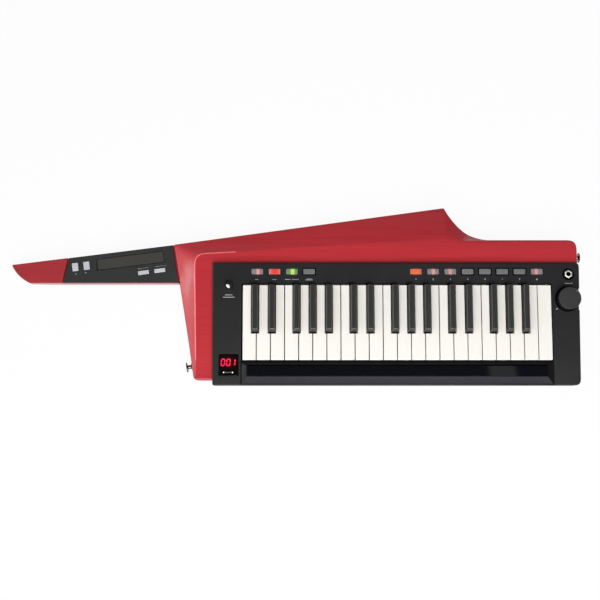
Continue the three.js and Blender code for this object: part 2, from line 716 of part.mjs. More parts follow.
function blackKey(middle) {
  const left = middle - BLACK_WIDTH / 2;
  const right = middle + BLACK_WIDTH / 2;
  const topLeft = middle - BLACK_TOP_WIDTH / 2;
  const topRight = middle + BLACK_TOP_WIDTH / 2;
  const footZ = whiteTopZ - KEY_ROOF;
  const crown = loft([
    raised(rectangle(left, right, blackFrontY, keysRearY), footZ),
    raised(rectangle(left, right, blackFrontY, keysRearY), whiteTopZ),
    raised(rectangle(topLeft, topRight, blackFrontY + BLACK_SLOPE, keysRearY), blackTopZ),
  ]);
  return beam(keyProfile(blackFrontY), left, right)
    .add(crown)
    .subtract(keyHollow(left, right, blackFrontY, keysRearY - KEY_WEB));
}

// The chassis under the keys: a channel with the hinge bar on its rib, two stop rails and each key's guide.
function keyFrame(layout) {
  const left = bayLeftX + FRAME_MARGIN;
  const right = bayRightX - FRAME_MARGIN;
  const front = bayFrontY + FRAME_MARGIN;
  const rear = bayRearY - FRAME_MARGIN;
  const bar = new THREE.CylinderGeometry(PIVOT_RADIUS, PIVOT_RADIUS, right - left, SMALL_ROUND_SIDES);
  const stopRail = (y) => {
    const topZ = keyFootZ - keyDrop(y, keyFootZ) - SEAT_GAP;
    return block(left, right, y, y + STOP_RAIL, framePlateZ, topZ);
  };
  const guide = (x, width, frontY) => {
    const y = frontY + GUIDE_FROM_FRONT;
    const topZ = keyCeilingZ - keyDrop(y, keyCeilingZ) - GUIDE_TOP_CLEARANCE;
    const half = width / 2 - KEY_WALL - GUIDE_CLEARANCE;
    return block(x - half, x + half, y, y + GUIDE_LENGTH, framePlateZ, topZ);
  };
  return union([
    block(left, right, front, rear, framePlateZ, frameTopZ),
    block(left, right, front, front + FRAME_PLATE, frameFootZ, frameTopZ),
    block(left, right, rear - FRAME_PLATE, rear, frameFootZ, frameTopZ),
    block(left, right, pivotY - RAIL_RIB / 2, pivotY + RAIL_RIB / 2, framePlateZ, pivotZ),
    solid(bar.rotateZ(Math.PI / 2).translate((left + right) / 2, pivotY, pivotZ)),
    stopRail(KEYS_FRONT_Y),
    stopRail(blackFrontY),
    ...layout.whites.map(({ left, right }) => guide((left + right) / 2, right - left, KEYS_FRONT_Y)),
    ...layout.blacks.map((middle) => guide(middle, BLACK_WIDTH, blackFrontY)),
  ]);
}

// Control panel: a moulded shell over the keybed, open for the keys, with the ribbon's tray in front.
function windowOutline(margin) {
  const left = panelLeftX + WINDOW_FROM_PANEL_LEFT;
  const front = panelFrontY + WINDOW_FROM_PANEL_FRONT;
  return [left - margin, left + WINDOW_WIDTH + margin, front - margin, front + WINDOW_LENGTH + margin];
}

const ribbonLeftX = KEYS_LEFT_X + RIBBON_END_MARGIN;
const ribbonRightX = keysRightX - RIBBON_END_MARGIN;
const ribbonFrontY = panelFrontY + RIBBON_BEHIND_NOSE;
const ribbonRearY = ribbonFrontY + RIBBON_WIDTH;

function ribbonTray() {
  const ring = (rise) => {
    const spread = rise / TRAY_DEPTH;
    return raised(
      rectangle(
        ribbonLeftX - SEAT_GAP - TRAY_END_SLOPE * spread,
        ribbonRightX + SEAT_GAP + TRAY_END_SLOPE * spread,
        ribbonFrontY - SEAT_GAP - TRAY_FRONT_SLOPE * spread,
        ribbonRearY + SEAT_GAP + TRAY_REAR_SLOPE * spread,
      ),
      trayFloorZ + rise,
    );
  };
  return loft([ring(0), ring(TRAY_DEPTH), ring(TRAY_DEPTH + SEAM_DEPTH)]);
}

function buttonColumns(firstX, count) {
  return Array.from({ length: count }, (_, i) => firstX + i * BUTTON_PITCH);
}

const functionXs = buttonColumns(functionFirstX, FUNCTION_COUNT);
const programXs = buttonColumns(programFirstX, PROGRAM_COUNT);
const buttonXs = [...functionXs, ...programXs];

// A block around the middle of a panel button, as large as its cap and a margin on each side.
function buttonBlock(x, margin, z0, z1) {
  const halfLength = BUTTON_LENGTH / 2 + margin;
  const halfWidth = BUTTON_WIDTH / 2 + margin;
  return block(x - halfLength, x + halfLength, buttonY - halfWidth, buttonY + halfWidth, z0, z1);
}

function buttonHole(x) {
  return buttonBlock(x, BUTTON_PLAY, flangeFootZ, panelTopZ + CUT_OVERRUN);
}

// The board hangs from the panel on these bosses, clear of the buttons, the knob and the jack.
const bossSpots = [
  [panelLeftX + PANEL_BOSS_INSET, knobY],
  [panelLeftX + PANEL_BOSS_INSET, buttonY],
  [(functionXs.at(-1) + programFirstX) / 2, buttonY],
  [bayRightX + PANEL_BOSS_INSET, buttonY - PANEL_BOSS_INSET],
];

function controlPanel() {
  const outline = rounded([
    [panelLeftX + PANEL_LEFT_TAPER, panelFrontY, PANEL_LEFT_CORNER],
    [panelRightX - PANEL_RIGHT_TAPER, panelFrontY, PANEL_FRONT_CORNER],
    [panelRightX, panelRearY, PANEL_REAR_CORNER],
    [panelLeftX, panelRearY, PANEL_LEFT_CORNER],
  ]);
  const overTop = panelTopZ + CUT_OVERRUN;
  const underFoot = panelFootZ - CUT_OVERRUN;
  const apronZ = BODY_HEIGHT - APRON_DEPTH;
  const inFront = block(
    panelLeftX - CUT_OVERRUN,
    panelRightX + CUT_OVERRUN,
    panelFrontY - CUT_OVERRUN,
    bodyFrontY - SEAT_GAP,
    apronZ - CUT_OVERRUN,
    overTop,
  );
  const apron = plate(outline, apronZ, panelTopZ - PANEL_EDGE).intersect(inFront);
  const frontInnerY = bodyFrontY + LEG_POCKET_MARGIN;
  const rearInnerY = panelRearY - PANEL_WALL;
  const leftInnerX = panelLeftX + PANEL_LEFT_TAPER + PANEL_WALL;
  const rightInnerX = panelRightX - PANEL_RIGHT_TAPER - PANEL_WALL;
  const bushTopZ = panelTopZ + TOGGLE_BUSH_RISE;
  const bush = post(TOGGLE_BUSH_RADIUS, toggleX, toggleY, panelRoofZ, bushTopZ);
  const cuts = [
    block(leftInnerX, wellLeftX - PANEL_WALL, frontInnerY, rearInnerY, underFoot, panelRoofZ),
    block(wellRightX + PANEL_WALL, rightInnerX, frontInnerY, rearInnerY, underFoot, panelRoofZ),
    block(leftInnerX, rightInnerX, wellRearY + PANEL_WALL, rearInnerY, underFoot, panelRoofZ),
    block(wellLeftX, wellRightX, wellFrontY, wellRearY, underFoot, overTop),
    ribbonTray(),
    block(...windowOutline(SEAT_GAP), panelTopZ - WINDOW_THICKNESS - SEAT_GAP, overTop),
    block(...windowOutline(-WINDOW_LEDGE), underFoot, overTop),
    post(KNOB_RADIUS + KNOB_RECESS_MARGIN, knobX, knobY, panelTopZ - KNOB_RECESS, overTop, ROUND_SIDES * 2),
    post(SHAFT_RADIUS + SHAFT_PLAY, knobX, knobY, underFoot, overTop, SMALL_ROUND_SIDES),
    post(JACK_RECESS_RADIUS, jackX, jackY, panelTopZ - KNOB_RECESS, overTop),
    post(JACK_BARREL_RADIUS + SEAT_GAP, jackX, jackY, underFoot, overTop),
    ...buttonXs.map(buttonHole),
  ];
  for (const x of [wellLeftX - SEAM_WIDTH, wellRightX]) {
    const seamFootZ = panelTopZ - SEAM_DEPTH;
    const seamRearY = wellFrontY + SEAM_WIDTH;
    cuts.push(block(x, x + SEAM_WIDTH, panelFrontY - CUT_OVERRUN, seamRearY, seamFootZ, overTop));
  }
  const notchOutline = rectangle(
    panelRightX - EDGE_NOTCH_DEPTH,
    panelRightX + CUT_OVERRUN,
    knobY - EDGE_NOTCH_HALF,
    knobY + EDGE_NOTCH_HALF,
    EDGE_NOTCH_CORNER,
  );
  cuts.push(plate(notchOutline, panelTopZ - EDGE_NOTCH_HEIGHT, overTop));
  const shell = softSlab(outline, panelFootZ, panelTopZ, PANEL_EDGE).add(apron).subtract(union(cuts));
  const bosses = bossSpots.map(([x, y]) =>
    post(PANEL_BOSS_RADIUS, x, y, boardTopZ + SEAT_GAP, panelTopZ - PANEL_EDGE, SMALL_ROUND_SIDES),
  );
  const bushBore = post(TOGGLE_BUSH_BORE, toggleX, toggleY, underFoot, bushTopZ + CUT_OVERRUN);
  return union([shell, bush, ...bosses]).subtract(bushBore);
}

// A panel button: a cap, the flange that holds it under the panel, and the stem that meets its switch.
function panelButton(x) {
  const stem = BUTTON_STEM / 2;
  return union([
    buttonBlock(x, 0, flangeFootZ, panelTopZ + BUTTON_RISE),
    buttonBlock(x, BUTTON_FLANGE, flangeFootZ, flangeTopZ),
    block(x - stem, x + stem, buttonY - stem, buttonY + stem, stemFootZ, flangeTopZ),
  ]);
}

function programButtons() {
  const halfWidth = BUTTON_WIDTH / 2 + BUTTON_FLANGE;
  const [frontY, rearY] = [buttonY - halfWidth, buttonY + halfWidth];
  const strip = block(programFirstX, programLastX, frontY, rearY, flangeFootZ, flangeTopZ);
  return union([strip, ...programXs.map(panelButton)]);
}

function circuitBoard() {
  const left = panelLeftX + LEG_POCKET_MARGIN + BOARD_EDGE_GAP;
  const right = panelRightX - LEG_POCKET_MARGIN - BOARD_EDGE_GAP;
  const rear = bayRearY - BOARD_EDGE_GAP;
  const front = wellRearY + BOARD_FRONT_MARGIN;
  const jackLeft = jackX - JACK_BODY / 2 - BOARD_EDGE_GAP;
  const jackFront = jackY - JACK_BODY / 2 - BOARD_EDGE_GAP;
  const [windowLeft, windowRight, windowFront, windowRear] = windowOutline(-WINDOW_LEDGE - BOARD_EDGE_GAP);
  const rightLegX = bayRightX + BOARD_EDGE_GAP;
  const leftLegX = bayLeftX - BOARD_EDGE_GAP;
  const displayZ = panelTopZ - WINDOW_THICKNESS - SEAT_GAP;
  const component = (x, y, width, length, topZ) =>
    block(x - width / 2, x + width / 2, y - length / 2, y + length / 2, boardFootZ, topZ);
  const shaftTopZ = panelTopZ - KNOB_RECESS + SEAT_GAP + SHAFT_GRIP;
  return union([
    block(left, jackLeft, front, rear, boardFootZ, boardTopZ),
    block(left, leftLegX, windowFront, rear, boardFootZ, boardTopZ),
    block(rightLegX, jackLeft, knobY, rear, boardFootZ, boardTopZ),
    block(rightLegX, right, knobY - BOARD_PAST_KNOB, jackFront, boardFootZ, boardTopZ),
    block(windowLeft, windowRight, windowFront, windowRear, boardFootZ, displayZ),
    component(toggleX, toggleY, TOGGLE_BODY_WIDTH, TOGGLE_BODY_LENGTH, flangeTopZ),
    post(POT_RADIUS, knobX, knobY, boardFootZ, flangeTopZ),
    post(SHAFT_RADIUS, knobX, knobY, boardFootZ, shaftTopZ, SMALL_ROUND_SIDES),
    ...buttonXs.map((x) => component(x, buttonY, SWITCH_WIDTH, SWITCH_WIDTH, switchTopZ)),
  ]);
}

function phoneJack() {
  const half = JACK_BODY / 2;
  const nutFootZ = panelTopZ - KNOB_RECESS + SEAT_GAP;
  const nutTopZ = nutFootZ + JACK_NUT_HEIGHT;
  const footZ = flangeTopZ - JACK_BODY_DEPTH;
  return block(jackX - half, jackX + half, jackY - half, jackY + half, footZ, flangeTopZ)
    .add(post(JACK_BARREL_RADIUS, jackX, jackY, flangeTopZ - SEAT_GAP, nutTopZ))
    .add(post(JACK_NUT_RADIUS, jackX, jackY, nutFootZ, nutTopZ, 6))
    .subtract(post(JACK_BORE_RADIUS, jackX, jackY, nutTopZ - JACK_BORE_DEPTH, nutTopZ + CUT_OVERRUN));
}

function volumeKnob() {
  const footZ = panelTopZ - KNOB_RECESS + SEAT_GAP;
  const topZ = panelTopZ + KNOB_RISE;
  const boreRadius = SHAFT_RADIUS + SEAT_GAP;
  const innerRadius = KNOB_RADIUS - KNOB_WALL;
  const profile = [
    [0, footZ + SHAFT_GRIP + SEAT_GAP],
    [boreRadius, footZ + SHAFT_GRIP + SEAT_GAP],
    [boreRadius, footZ],
    [KNOB_HUB_RADIUS, footZ],
    [KNOB_HUB_RADIUS, footZ + KNOB_CAVITY_DEPTH],
    [innerRadius, footZ + KNOB_CAVITY_DEPTH],
    [innerRadius, footZ],
    [KNOB_RADIUS, footZ],
    [KNOB_RADIUS, topZ - KNOB_EDGE],
    [KNOB_RADIUS - KNOB_EDGE, topZ],
    [0, topZ],
  ];
  return turned(profile, ROUND_SIDES * 2).translate(knobX, knobY, 0);
}

function toggleLever() {
  return turned([
    [0, -TOGGLE_ROOT_LENGTH],
    [TOGGLE_ROOT_RADIUS, -TOGGLE_ROOT_LENGTH],
    [TOGGLE_TIP_RADIUS, TOGGLE_LENGTH - TOGGLE_TIP_RADIUS],
    [TOGGLE_TIP_RADIUS, TOGGLE_LENGTH - TOGGLE_TIP_EDGE],
    [TOGGLE_TIP_RADIUS - TOGGLE_TIP_EDGE, TOGGLE_LENGTH],
    [0, TOGGLE_LENGTH],
  ]);
}

// Neck panel
const octaveX = headEndX + OCTAVE_FROM_HEAD;
const octaveY = neckRearY(octaveX) - OCTAVE_BELOW_REAR;
const modeX = shoulder.x - MODE_FROM_SHOULDER;
const modeY = neckFrontY + MODE_ABOVE_NECK;
const shortRibbonLeftX = octaveX + SHORT_RIBBON_PAST_OCTAVES;
const shortRibbonRightX = shoulder.x - SHORT_RIBBON_FROM_SHOULDER;
const shortRibbonLength = shortRibbonRightX - shortRibbonLeftX;
const shortRibbonX = (shortRibbonLeftX + shortRibbonRightX) / 2;
const shortRibbonY = neckRearY(shortRibbonX) - SHORT_RIBBON_BELOW_REAR;
const shortRibbonFloorZ = NECK_HEIGHT - SHORT_RIBBON_DEPTH;

// Each pair of neck buttons: its names, its caps' size along and across the neck, its middle and its pitch.
const neckButtonPairs = [
  {
    names: ["octave_down_button", "octave_up_button"],
    length: OCTAVE_BUTTON_LENGTH,
    width: OCTAVE_BUTTON_WIDTH,
    middle: [octaveX, octaveY],
    pitch: OCTAVE_BUTTON_PITCH,
  },
  {
    names: ["pitch_button", "modulation_button"],
    length: MODE_BUTTON_LENGTH,
    width: MODE_BUTTON_WIDTH,
    middle: [modeX, modeY],
    pitch: MODE_BUTTON_PITCH,
  },
];
const neckButtons = neckButtonPairs.flatMap(({ names, length, width, middle: [x, y], pitch }) =>
  names.map((name, i) => {
    const shift = (i - 1 / 2) * pitch;
    return { name, length, width, x: x + shift, y: y + shift * neckSlope };
  }),
);

function neckPanel() {
  const outline = neckPanelOutline(NECK_PANEL_GAP, NECK_PANEL_GAP, NECK_PANEL_INSET);
  const overTop = NECK_HEIGHT + CUT_OVERRUN;
  const recessLength = shortRibbonLength + 2 * SHORT_RIBBON_BORDER;
  const recessWidth = SHORT_RIBBON_WIDTH + SHORT_RIBBON_BORDER + SHORT_RIBBON_FRONT_BORDER;
  const recessY = shortRibbonY + (SHORT_RIBBON_BORDER - SHORT_RIBBON_FRONT_BORDER) / 2;
  const holes = neckButtons.map(({ length, width, x, y }) =>
    onNeck(length + 2 * BUTTON_PLAY, width + 2 * BUTTON_PLAY, x, y, neckPanelFootZ - CUT_OVERRUN, overTop),
  );
  return softSlab(outline, neckPanelFootZ, NECK_HEIGHT, NECK_PANEL_EDGE)
    .subtract(onNeck(recessLength, recessWidth, shortRibbonX, recessY, shortRibbonFloorZ, overTop))
    .subtract(union(holes));
}

function neckButton({ length, width, x, y }) {
  const topZ = neckPanelFootZ - SEAT_GAP;
  const footZ = topZ - BUTTON_FLANGE_THICKNESS;
  const lip = 2 * BUTTON_FLANGE;
  return onNeck(length, width, x, y, footZ, NECK_HEIGHT + NECK_BUTTON_RISE)
    .add(onNeck(length + lip, width + lip, x, y, footZ, topZ));
}

// Battery cover and its opening in the back
const coverLeftX = KEYS_LEFT_X + COVER_FROM_KEYS_LEFT;
const coverMiddleY = (bayFrontY + bayRearY) / 2;

function coverOutline(margin) {
  const half = COVER_WIDTH / 2 + margin;
  const corner = COVER_CORNER + margin;
  const right = coverLeftX + COVER_LENGTH + margin;
  return rectangle(coverLeftX - margin, right, coverMiddleY - half, coverMiddleY + half, corner);
}

function batteryCover() {
  const grooves = Array.from({ length: GRIP_GROOVE_COUNT }, (_, i) => {
    const x = coverLeftX + GRIP_FROM_COVER_END + i * GRIP_GROOVE_PITCH;
    const half = GRIP_GROOVE_LENGTH / 2;
    const cutTopZ = COVER_RECESS + GRIP_GROOVE_DEPTH;
    return block(x, x + GRIP_GROOVE_WIDTH, coverMiddleY - half, coverMiddleY + half, -CUT_OVERRUN, cutTopZ);
  });
  return plate(coverOutline(0), COVER_RECESS, COVER_RECESS + COVER_THICKNESS).subtract(union(grooves));
}

// Strap pins: a wood screw's shank, a felt, a waist for the strap's slot and a broad flange.
function strapPin() {
  return turned([
    [0, -PIN_SHANK_LENGTH],
    [PIN_SHANK_RADIUS, -PIN_SHANK_LENGTH + PIN_SHANK_RADIUS],
    [PIN_SHANK_RADIUS, SEAT_GAP],
    [PIN_FELT_RADIUS, SEAT_GAP],
    [PIN_FELT_RADIUS, SEAT_GAP + PIN_FELT_THICKNESS],
    [PIN_WAIST_RADIUS, SEAT_GAP + PIN_FELT_THICKNESS],
    [PIN_WAIST_RADIUS, PIN_LENGTH - PIN_FLANGE_THICKNESS],
    [PIN_FLANGE_RADIUS, PIN_LENGTH - PIN_FLANGE_THICKNESS],
    [PIN_FLANGE_RADIUS, PIN_LENGTH],
    [0, PIN_LENGTH],
  ]);
}

// Each pin: its name, where it leaves the wood and the way it points in plan.
const leftPinY = bodyFrontY + LEFT_PIN_ABOVE_FRONT;
const strapPins = [
  {
    name: "strap_pin_left",
    x: leftEdgeX(leftPinY),
    y: leftPinY,
    heading: Math.PI + Math.atan(-leftEdgeSlope),
  },
  {
    name: "strap_pin_right",
    x: bodyRightX,
    y: panelRearY + RIGHT_PIN_BEHIND_PANEL,
    heading: 0,
  },
];

// Turns a solid that stands on its axis so that it lies level, leaving the wood at a pin's heading.
function layOut(solidPiece, { x, y, heading }) {
  const degrees = THREE.MathUtils.radToDeg(heading);
  return solidPiece.rotate([0, 90, 0]).rotate([0, 0, degrees]).translate(x, y, PIN_HEIGHT);
}

function pinHole(pin) {
  const radius = PIN_SHANK_RADIUS + SEAT_GAP;
  return layOut(post(radius, 0, 0, -PIN_SHANK_LENGTH - SEAT_GAP, CUT_OVERRUN, SMALL_ROUND_SIDES), pin);
}

function woodenBody() {
  const overTop = BODY_HEIGHT + CUT_OVERRUN;
  const pocketFloorZ = BODY_HEIGHT - LEG_POCKET_DEPTH;
  const frontInnerY = bodyFrontY + LEG_POCKET_MARGIN;
  const leftInnerX = panelLeftX + LEG_POCKET_MARGIN;
  const rightInnerX = panelRightX - LEG_POCKET_MARGIN;
  const channelY = neckFrontY + WIRE_CHANNEL_ABOVE_NECK;
  const neckPocket = neckPanelOutline(NECK_POCKET_MARGIN, NECK_POCKET_MARGIN, NECK_POCKET_MARGIN);
  const channelX = leftEdgeX(channelY) - NECK_POCKET_MARGIN - WIRE_CHANNEL;
  const channelTopZ = pocketFloorZ + WIRE_CHANNEL;
  const rebateZ = COVER_RECESS + COVER_THICKNESS + SEAT_GAP;
  const cuts = [
    block(bayLeftX, bayRightX, bayFrontY, bayRearY, BODY_FLOOR, overTop),
    block(leftInnerX, bayLeftX + CUT_OVERRUN, frontInnerY, bayRearY, pocketFloorZ, overTop),
    block(bayRightX - CUT_OVERRUN, rightInnerX, bayFrontY, bayRearY, pocketFloorZ, overTop),
    plate(neckPanelOutline(0, -NECK_REBATE_BITE, -CUT_OVERRUN), neckRebateZ, overTop),
    plate(neckPocket, neckRebateZ - NECK_POCKET_DEPTH, overTop),
    block(channelX, leftInnerX + CUT_OVERRUN, channelY, channelY + WIRE_CHANNEL, pocketFloorZ, channelTopZ),
    plate(coverOutline(SEAT_GAP), -CUT_OVERRUN, rebateZ),
    plate(coverOutline(-COVER_LEDGE), -CUT_OVERRUN, BODY_FLOOR + CUT_OVERRUN),
    ...strapPins.map(pinHole),
  ];
  return bodyBlank().subtract(union(cuts));
}

// Assembly
addMesh("body", woodenBody(), redLacquer);
addMesh("battery_cover", batteryCover(), blackPlastic);
addMesh("control_panel", controlPanel(), blackPlastic);
const windowFootZ = panelTopZ - WINDOW_THICKNESS;
addMesh("display_window", block(...windowOutline(0), windowFootZ, panelTopZ + WINDOW_PROUD), windowBlack);
const ribbonFootZ = trayFloorZ + SEAT_GAP;
const ribbonTopZ = ribbonFootZ + RIBBON_THICKNESS;
const longRibbon = block(ribbonLeftX, ribbonRightX, ribbonFrontY, ribbonRearY, ribbonFootZ, ribbonTopZ);
addMesh("long_ribbon", longRibbon, ribbonBlack);
addMesh("circuit_board", circuitBoard(), boardGreen);
addMesh("phone_jack", phoneJack(), chrome);
addMesh("volume_knob", volumeKnob(), blackPlastic);
const lever = addMesh("toggle_lever", toggleLever(), chrome);
lever.position.set(toggleX, toggleY, panelTopZ);
lever.rotation.x = THREE.MathUtils.degToRad(TOGGLE_TILT_DEG);

addMesh("neck_panel", neckPanel(), blackPlastic);
const shortRibbonFootZ = shortRibbonFloorZ + SEAT_GAP;
addMesh(
  "short_ribbon",
  onNeck(
    shortRibbonLength,
    SHORT_RIBBON_WIDTH,
    shortRibbonX,
    shortRibbonY,
    shortRibbonFootZ,
    shortRibbonFootZ + SHORT_RIBBON_THICKNESS,
  ),
  ribbonGrey,
);
for (const button of neckButtons) {
  addMesh(button.name, neckButton(button), silverCap);
}

functionXs.forEach((x, i) => addMesh(`function_button_${i + 1}`, panelButton(x), clearCap));
addMesh("program_buttons", programButtons(), clearCap);
for (const pin of strapPins) {
  addMesh(pin.name, layOut(strapPin(), pin), chrome);
}

const layout = keyLayout();
addMesh("key_frame", keyFrame(layout), frameGrey);
const numbered = (name, i) => `${name}_${String(i + 1).padStart(2, "0")}`;
layout.whites.forEach((key, i) => addMesh(numbered("white_key", i), whiteKey(key), whitePlastic));
layout.blacks.forEach((middle, i) => addMesh(numbered("black_key", i), blackKey(middle), keyBlack));

// The origin lies under the middle of the whole, on the plane that the back rests on.
const rightEndX = bodyRightX + PIN_LENGTH;
group.position.set(-(headTipX + rightEndX) / 2, -(panelFrontY + finTip.y) / 2, 0);

export default group;
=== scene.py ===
# The looks of a shoulder keyboard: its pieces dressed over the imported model, its printed marks, lights
# and camera. Sizes are in millimetres, and MM turns them into metres. The floor and the lamps are set
# out in metres.
import math

import bmesh
import bpy
from mathutils import Matrix, Vector


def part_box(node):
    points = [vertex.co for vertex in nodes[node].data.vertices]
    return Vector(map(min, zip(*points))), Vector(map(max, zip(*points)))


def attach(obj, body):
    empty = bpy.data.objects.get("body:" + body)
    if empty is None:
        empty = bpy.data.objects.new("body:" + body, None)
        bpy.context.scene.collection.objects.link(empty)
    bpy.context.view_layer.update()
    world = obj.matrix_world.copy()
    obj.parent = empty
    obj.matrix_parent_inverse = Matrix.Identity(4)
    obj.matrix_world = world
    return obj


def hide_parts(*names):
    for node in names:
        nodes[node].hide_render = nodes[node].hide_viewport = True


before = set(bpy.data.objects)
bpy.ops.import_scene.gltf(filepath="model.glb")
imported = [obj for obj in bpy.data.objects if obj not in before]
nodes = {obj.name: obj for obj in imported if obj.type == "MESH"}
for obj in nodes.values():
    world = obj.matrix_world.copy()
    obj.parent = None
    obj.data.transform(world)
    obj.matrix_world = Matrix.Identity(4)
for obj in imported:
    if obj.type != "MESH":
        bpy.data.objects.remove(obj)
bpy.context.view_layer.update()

MM = 0.001
ROOT = "instrument"
WHITE = (1.0, 1.0, 1.0, 1.0)
BLACK = (0.0, 0.0, 0.0, 1.0)

# Camera: the photograph's place, worked out from the keyboard's perspective
CAMERA_AT = (4.6, -167.8, 1430.7)
CAMERA_TARGET = (4.6, -6.9, 40.0)
CAMERA_LENS = 57.5
SENSOR_WIDTH = 36


def srgb(red, green, blue):
    """A colour as a picture shows it, 0 to 255, in the linear values that shaders take."""
    channels = [c / 255 for c in (red, green, blue)]
    return tuple(c / 12.92 if c <= 0.04045 else ((c + 0.055) / 1.055) ** 2.4 for c in channels) + (1.0,)


def add_camera():
    data = bpy.data.cameras.new("camera")
    data.lens = CAMERA_LENS
    data.sensor_width = SENSOR_WIDTH
    data.clip_end = 100
    camera = bpy.data.objects.new("camera", data)
    bpy.context.scene.collection.objects.link(camera)
    camera.location = Vector(CAMERA_AT) * MM
    aim = (Vector(CAMERA_TARGET) - Vector(CAMERA_AT)) * MM
    camera.rotation_euler = aim.to_track_quat("-Z", "Y").to_euler()
    bpy.context.scene.camera = camera


# Materials. The wood's painted shade, darker on the head and over the fin: where it starts and is full,
# along X on the head and along Y on the fin, and the share of each colour that it leaves.
HEAD_PAINTED_SHADE = (-240.0, -300.0)
FIN_PAINTED_SHADE = (60.0, 114.0)
PAINTED_SHADE_LEAVES = (0.74, 0.97, 0.93, 1.0)


def toned(colour, share):
    """The colour made darker or lighter by a share."""
    return tuple(min(1.0, c * share) for c in colour[:3]) + (1.0,)


class Shader:
    """A material's node tree, with short calls for the nodes that the finishes share."""

    def __init__(self, name, colour, roughness, **sockets):
        self.material = bpy.data.materials.new(name)
        self.material.use_nodes = True
        self.tree = self.material.node_tree
        self.surface = self.tree.nodes["Principled BSDF"]
        self.surface.inputs["Base Color"].default_value = colour
        self.surface.inputs["Roughness"].default_value = roughness
        for socket, value in sockets.items():
            self.surface.inputs[socket.replace("_", " ")].default_value = value
        self.coordinates = self.node("ShaderNodeTexCoord").outputs["Object"]

    def node(self, kind, **settings):
        made = self.tree.nodes.new(kind)
        for key, value in settings.items():
            setattr(made, key, value)
        return made

    def link(self, output, socket):
        self.tree.links.new(output, socket)

    def mapped(self, scale, location=(0, 0, 0)):
        mapping = self.node("ShaderNodeMapping")
        mapping.inputs["Scale"].default_value = scale
        mapping.inputs["Location"].default_value = location
        self.link(self.coordinates, mapping.inputs["Vector"])
        return mapping.outputs["Vector"]

    def noise(self, vector, scale, detail=3.0, roughness=0.5):
        texture = self.node("ShaderNodeTexNoise")
        texture.inputs["Scale"].default_value = scale
        texture.inputs["Detail"].default_value = detail
        texture.inputs["Roughness"].default_value = roughness
        self.link(vector, texture.inputs["Vector"])
        return texture.outputs["Fac"]

    def ramp(self, factor, *stops):
        ramp = self.node("ShaderNodeValToRGB")
        elements = ramp.color_ramp.elements
        while len(elements) < len(stops):
            elements.new(0.5)
        for element, (position, colour) in zip(elements, stops):
            element.position = position
            element.color = colour
        self.link(factor, ramp.inputs["Fac"])
        return ramp.outputs["Color"]

    def mix(self, factor, first, second, blend="MIX"):
        mix = self.node("ShaderNodeMix", data_type="RGBA", blend_type=blend)
        for socket, value in (("Factor", factor), ("A", first), ("B", second)):
            slots = [s for s in mix.inputs if s.name == socket and s.enabled]
            if isinstance(value, bpy.types.NodeSocket):
                self.link(value, slots[0])
            else:
                slots[0].default_value = value
        return [s for s in mix.outputs if s.enabled][0]

    def colour(self, output):
        self.link(output, self.surface.inputs["Base Color"])

    def vary(self, pattern, colour, variation):
        """The colour, a little darker and lighter as the pattern goes."""
        darker, lighter = toned(colour, 1 - variation), toned(colour, 1 + variation)
        self.colour(self.ramp(pattern, (0.3, darker), (0.7, lighter)))

    def stained_ends(self):
        """How strong the painted shade is: it grows along the neck's head and over the fin."""
        parts = self.node("ShaderNodeSeparateXYZ")
        self.link(self.coordinates, parts.inputs[0])
        shares = []
        for axis, (start, end) in (("X", HEAD_PAINTED_SHADE), ("Y", FIN_PAINTED_SHADE)):
            spread = self.node("ShaderNodeMapRange")
            spread.inputs["From Min"].default_value = start * MM
            spread.inputs["From Max"].default_value = end * MM
            self.link(parts.outputs[axis], spread.inputs["Value"])
            shares.append(spread.outputs["Result"])
        stronger = self.node("ShaderNodeMath", operation="MAXIMUM")
        for share, socket in zip(shares, stronger.inputs):
            self.link(share, socket)
        return stronger.outputs[0]

    def rough(self, factor, low, high):
        spread = self.node("ShaderNodeMapRange")
        spread.inputs["To Min"].default_value = low
        spread.inputs["To Max"].default_value = high
        self.link(factor, spread.inputs["Value"])
        self.link(spread.outputs["Result"], self.surface.inputs["Roughness"])

    def bump(self, height, strength, distance):
        bump = self.node("ShaderNodeBump")
        bump.inputs["Strength"].default_value = strength
        bump.inputs["Distance"].default_value = distance * MM
        self.link(height, bump.inputs["Height"])
        self.link(bump.outputs["Normal"], self.surface.inputs["Normal"])


def lacquered_wood():
    """Clear red lacquer over close-grained wood, whose grain runs along the instrument, with shade painted
    darker on the head and the fin.
    """
    shader = Shader("red_lacquer", srgb(195, 41, 51), 0.36, Coat_Weight=0.5, Coat_Roughness=0.1)
    grain = shader.noise(shader.mapped((1.6, 60, 40)), 4.0, 5.0, 0.55)
    pores = shader.noise(shader.mapped((9, 420, 300)), 5.0, 2.0)
    cloud = shader.noise(shader.mapped((3, 5, 5)), 1.6, 2.0)
    base = shader.ramp(
        grain, (0.25, srgb(188, 37, 47)), (0.5, srgb(195, 41, 51)), (0.78, srgb(200, 45, 54))
    )
    deeper = shader.ramp(cloud, (0.3, srgb(242, 238, 238)), (0.72, srgb(255, 255, 255)))
    clouded = shader.mix(1.0, base, deeper, "MULTIPLY")
    # Painted shade: the head and the fin are made darker.
    painted_end_shade = shader.ramp(shader.stained_ends(), (0.0, WHITE), (1.0, PAINTED_SHADE_LEAVES))
    shader.colour(shader.mix(1.0, clouded, painted_end_shade, "MULTIPLY"))
    shader.rough(grain, 0.33, 0.4)
    shader.bump(pores, 0.03, 0.15)
    return shader.material


def satin_plastic(name, colour, roughness, grain=0.14, variation=0.12, **sockets):
    """Moulded plastic with a fine spark-eroded texture and a slight unevenness in its tone."""
    shader = Shader(name, colour, roughness, **sockets)
    texture = shader.noise(shader.mapped((1, 1, 1)), 1600.0, 2.0, 0.6)
    wear = shader.noise(shader.mapped((1, 1, 1)), 14.0, 4.0, 0.6)
    shader.vary(wear, colour, variation)
    shader.rough(wear, roughness - 0.05, roughness + 0.05)
    shader.bump(texture, grain, 0.08)
    return shader.material


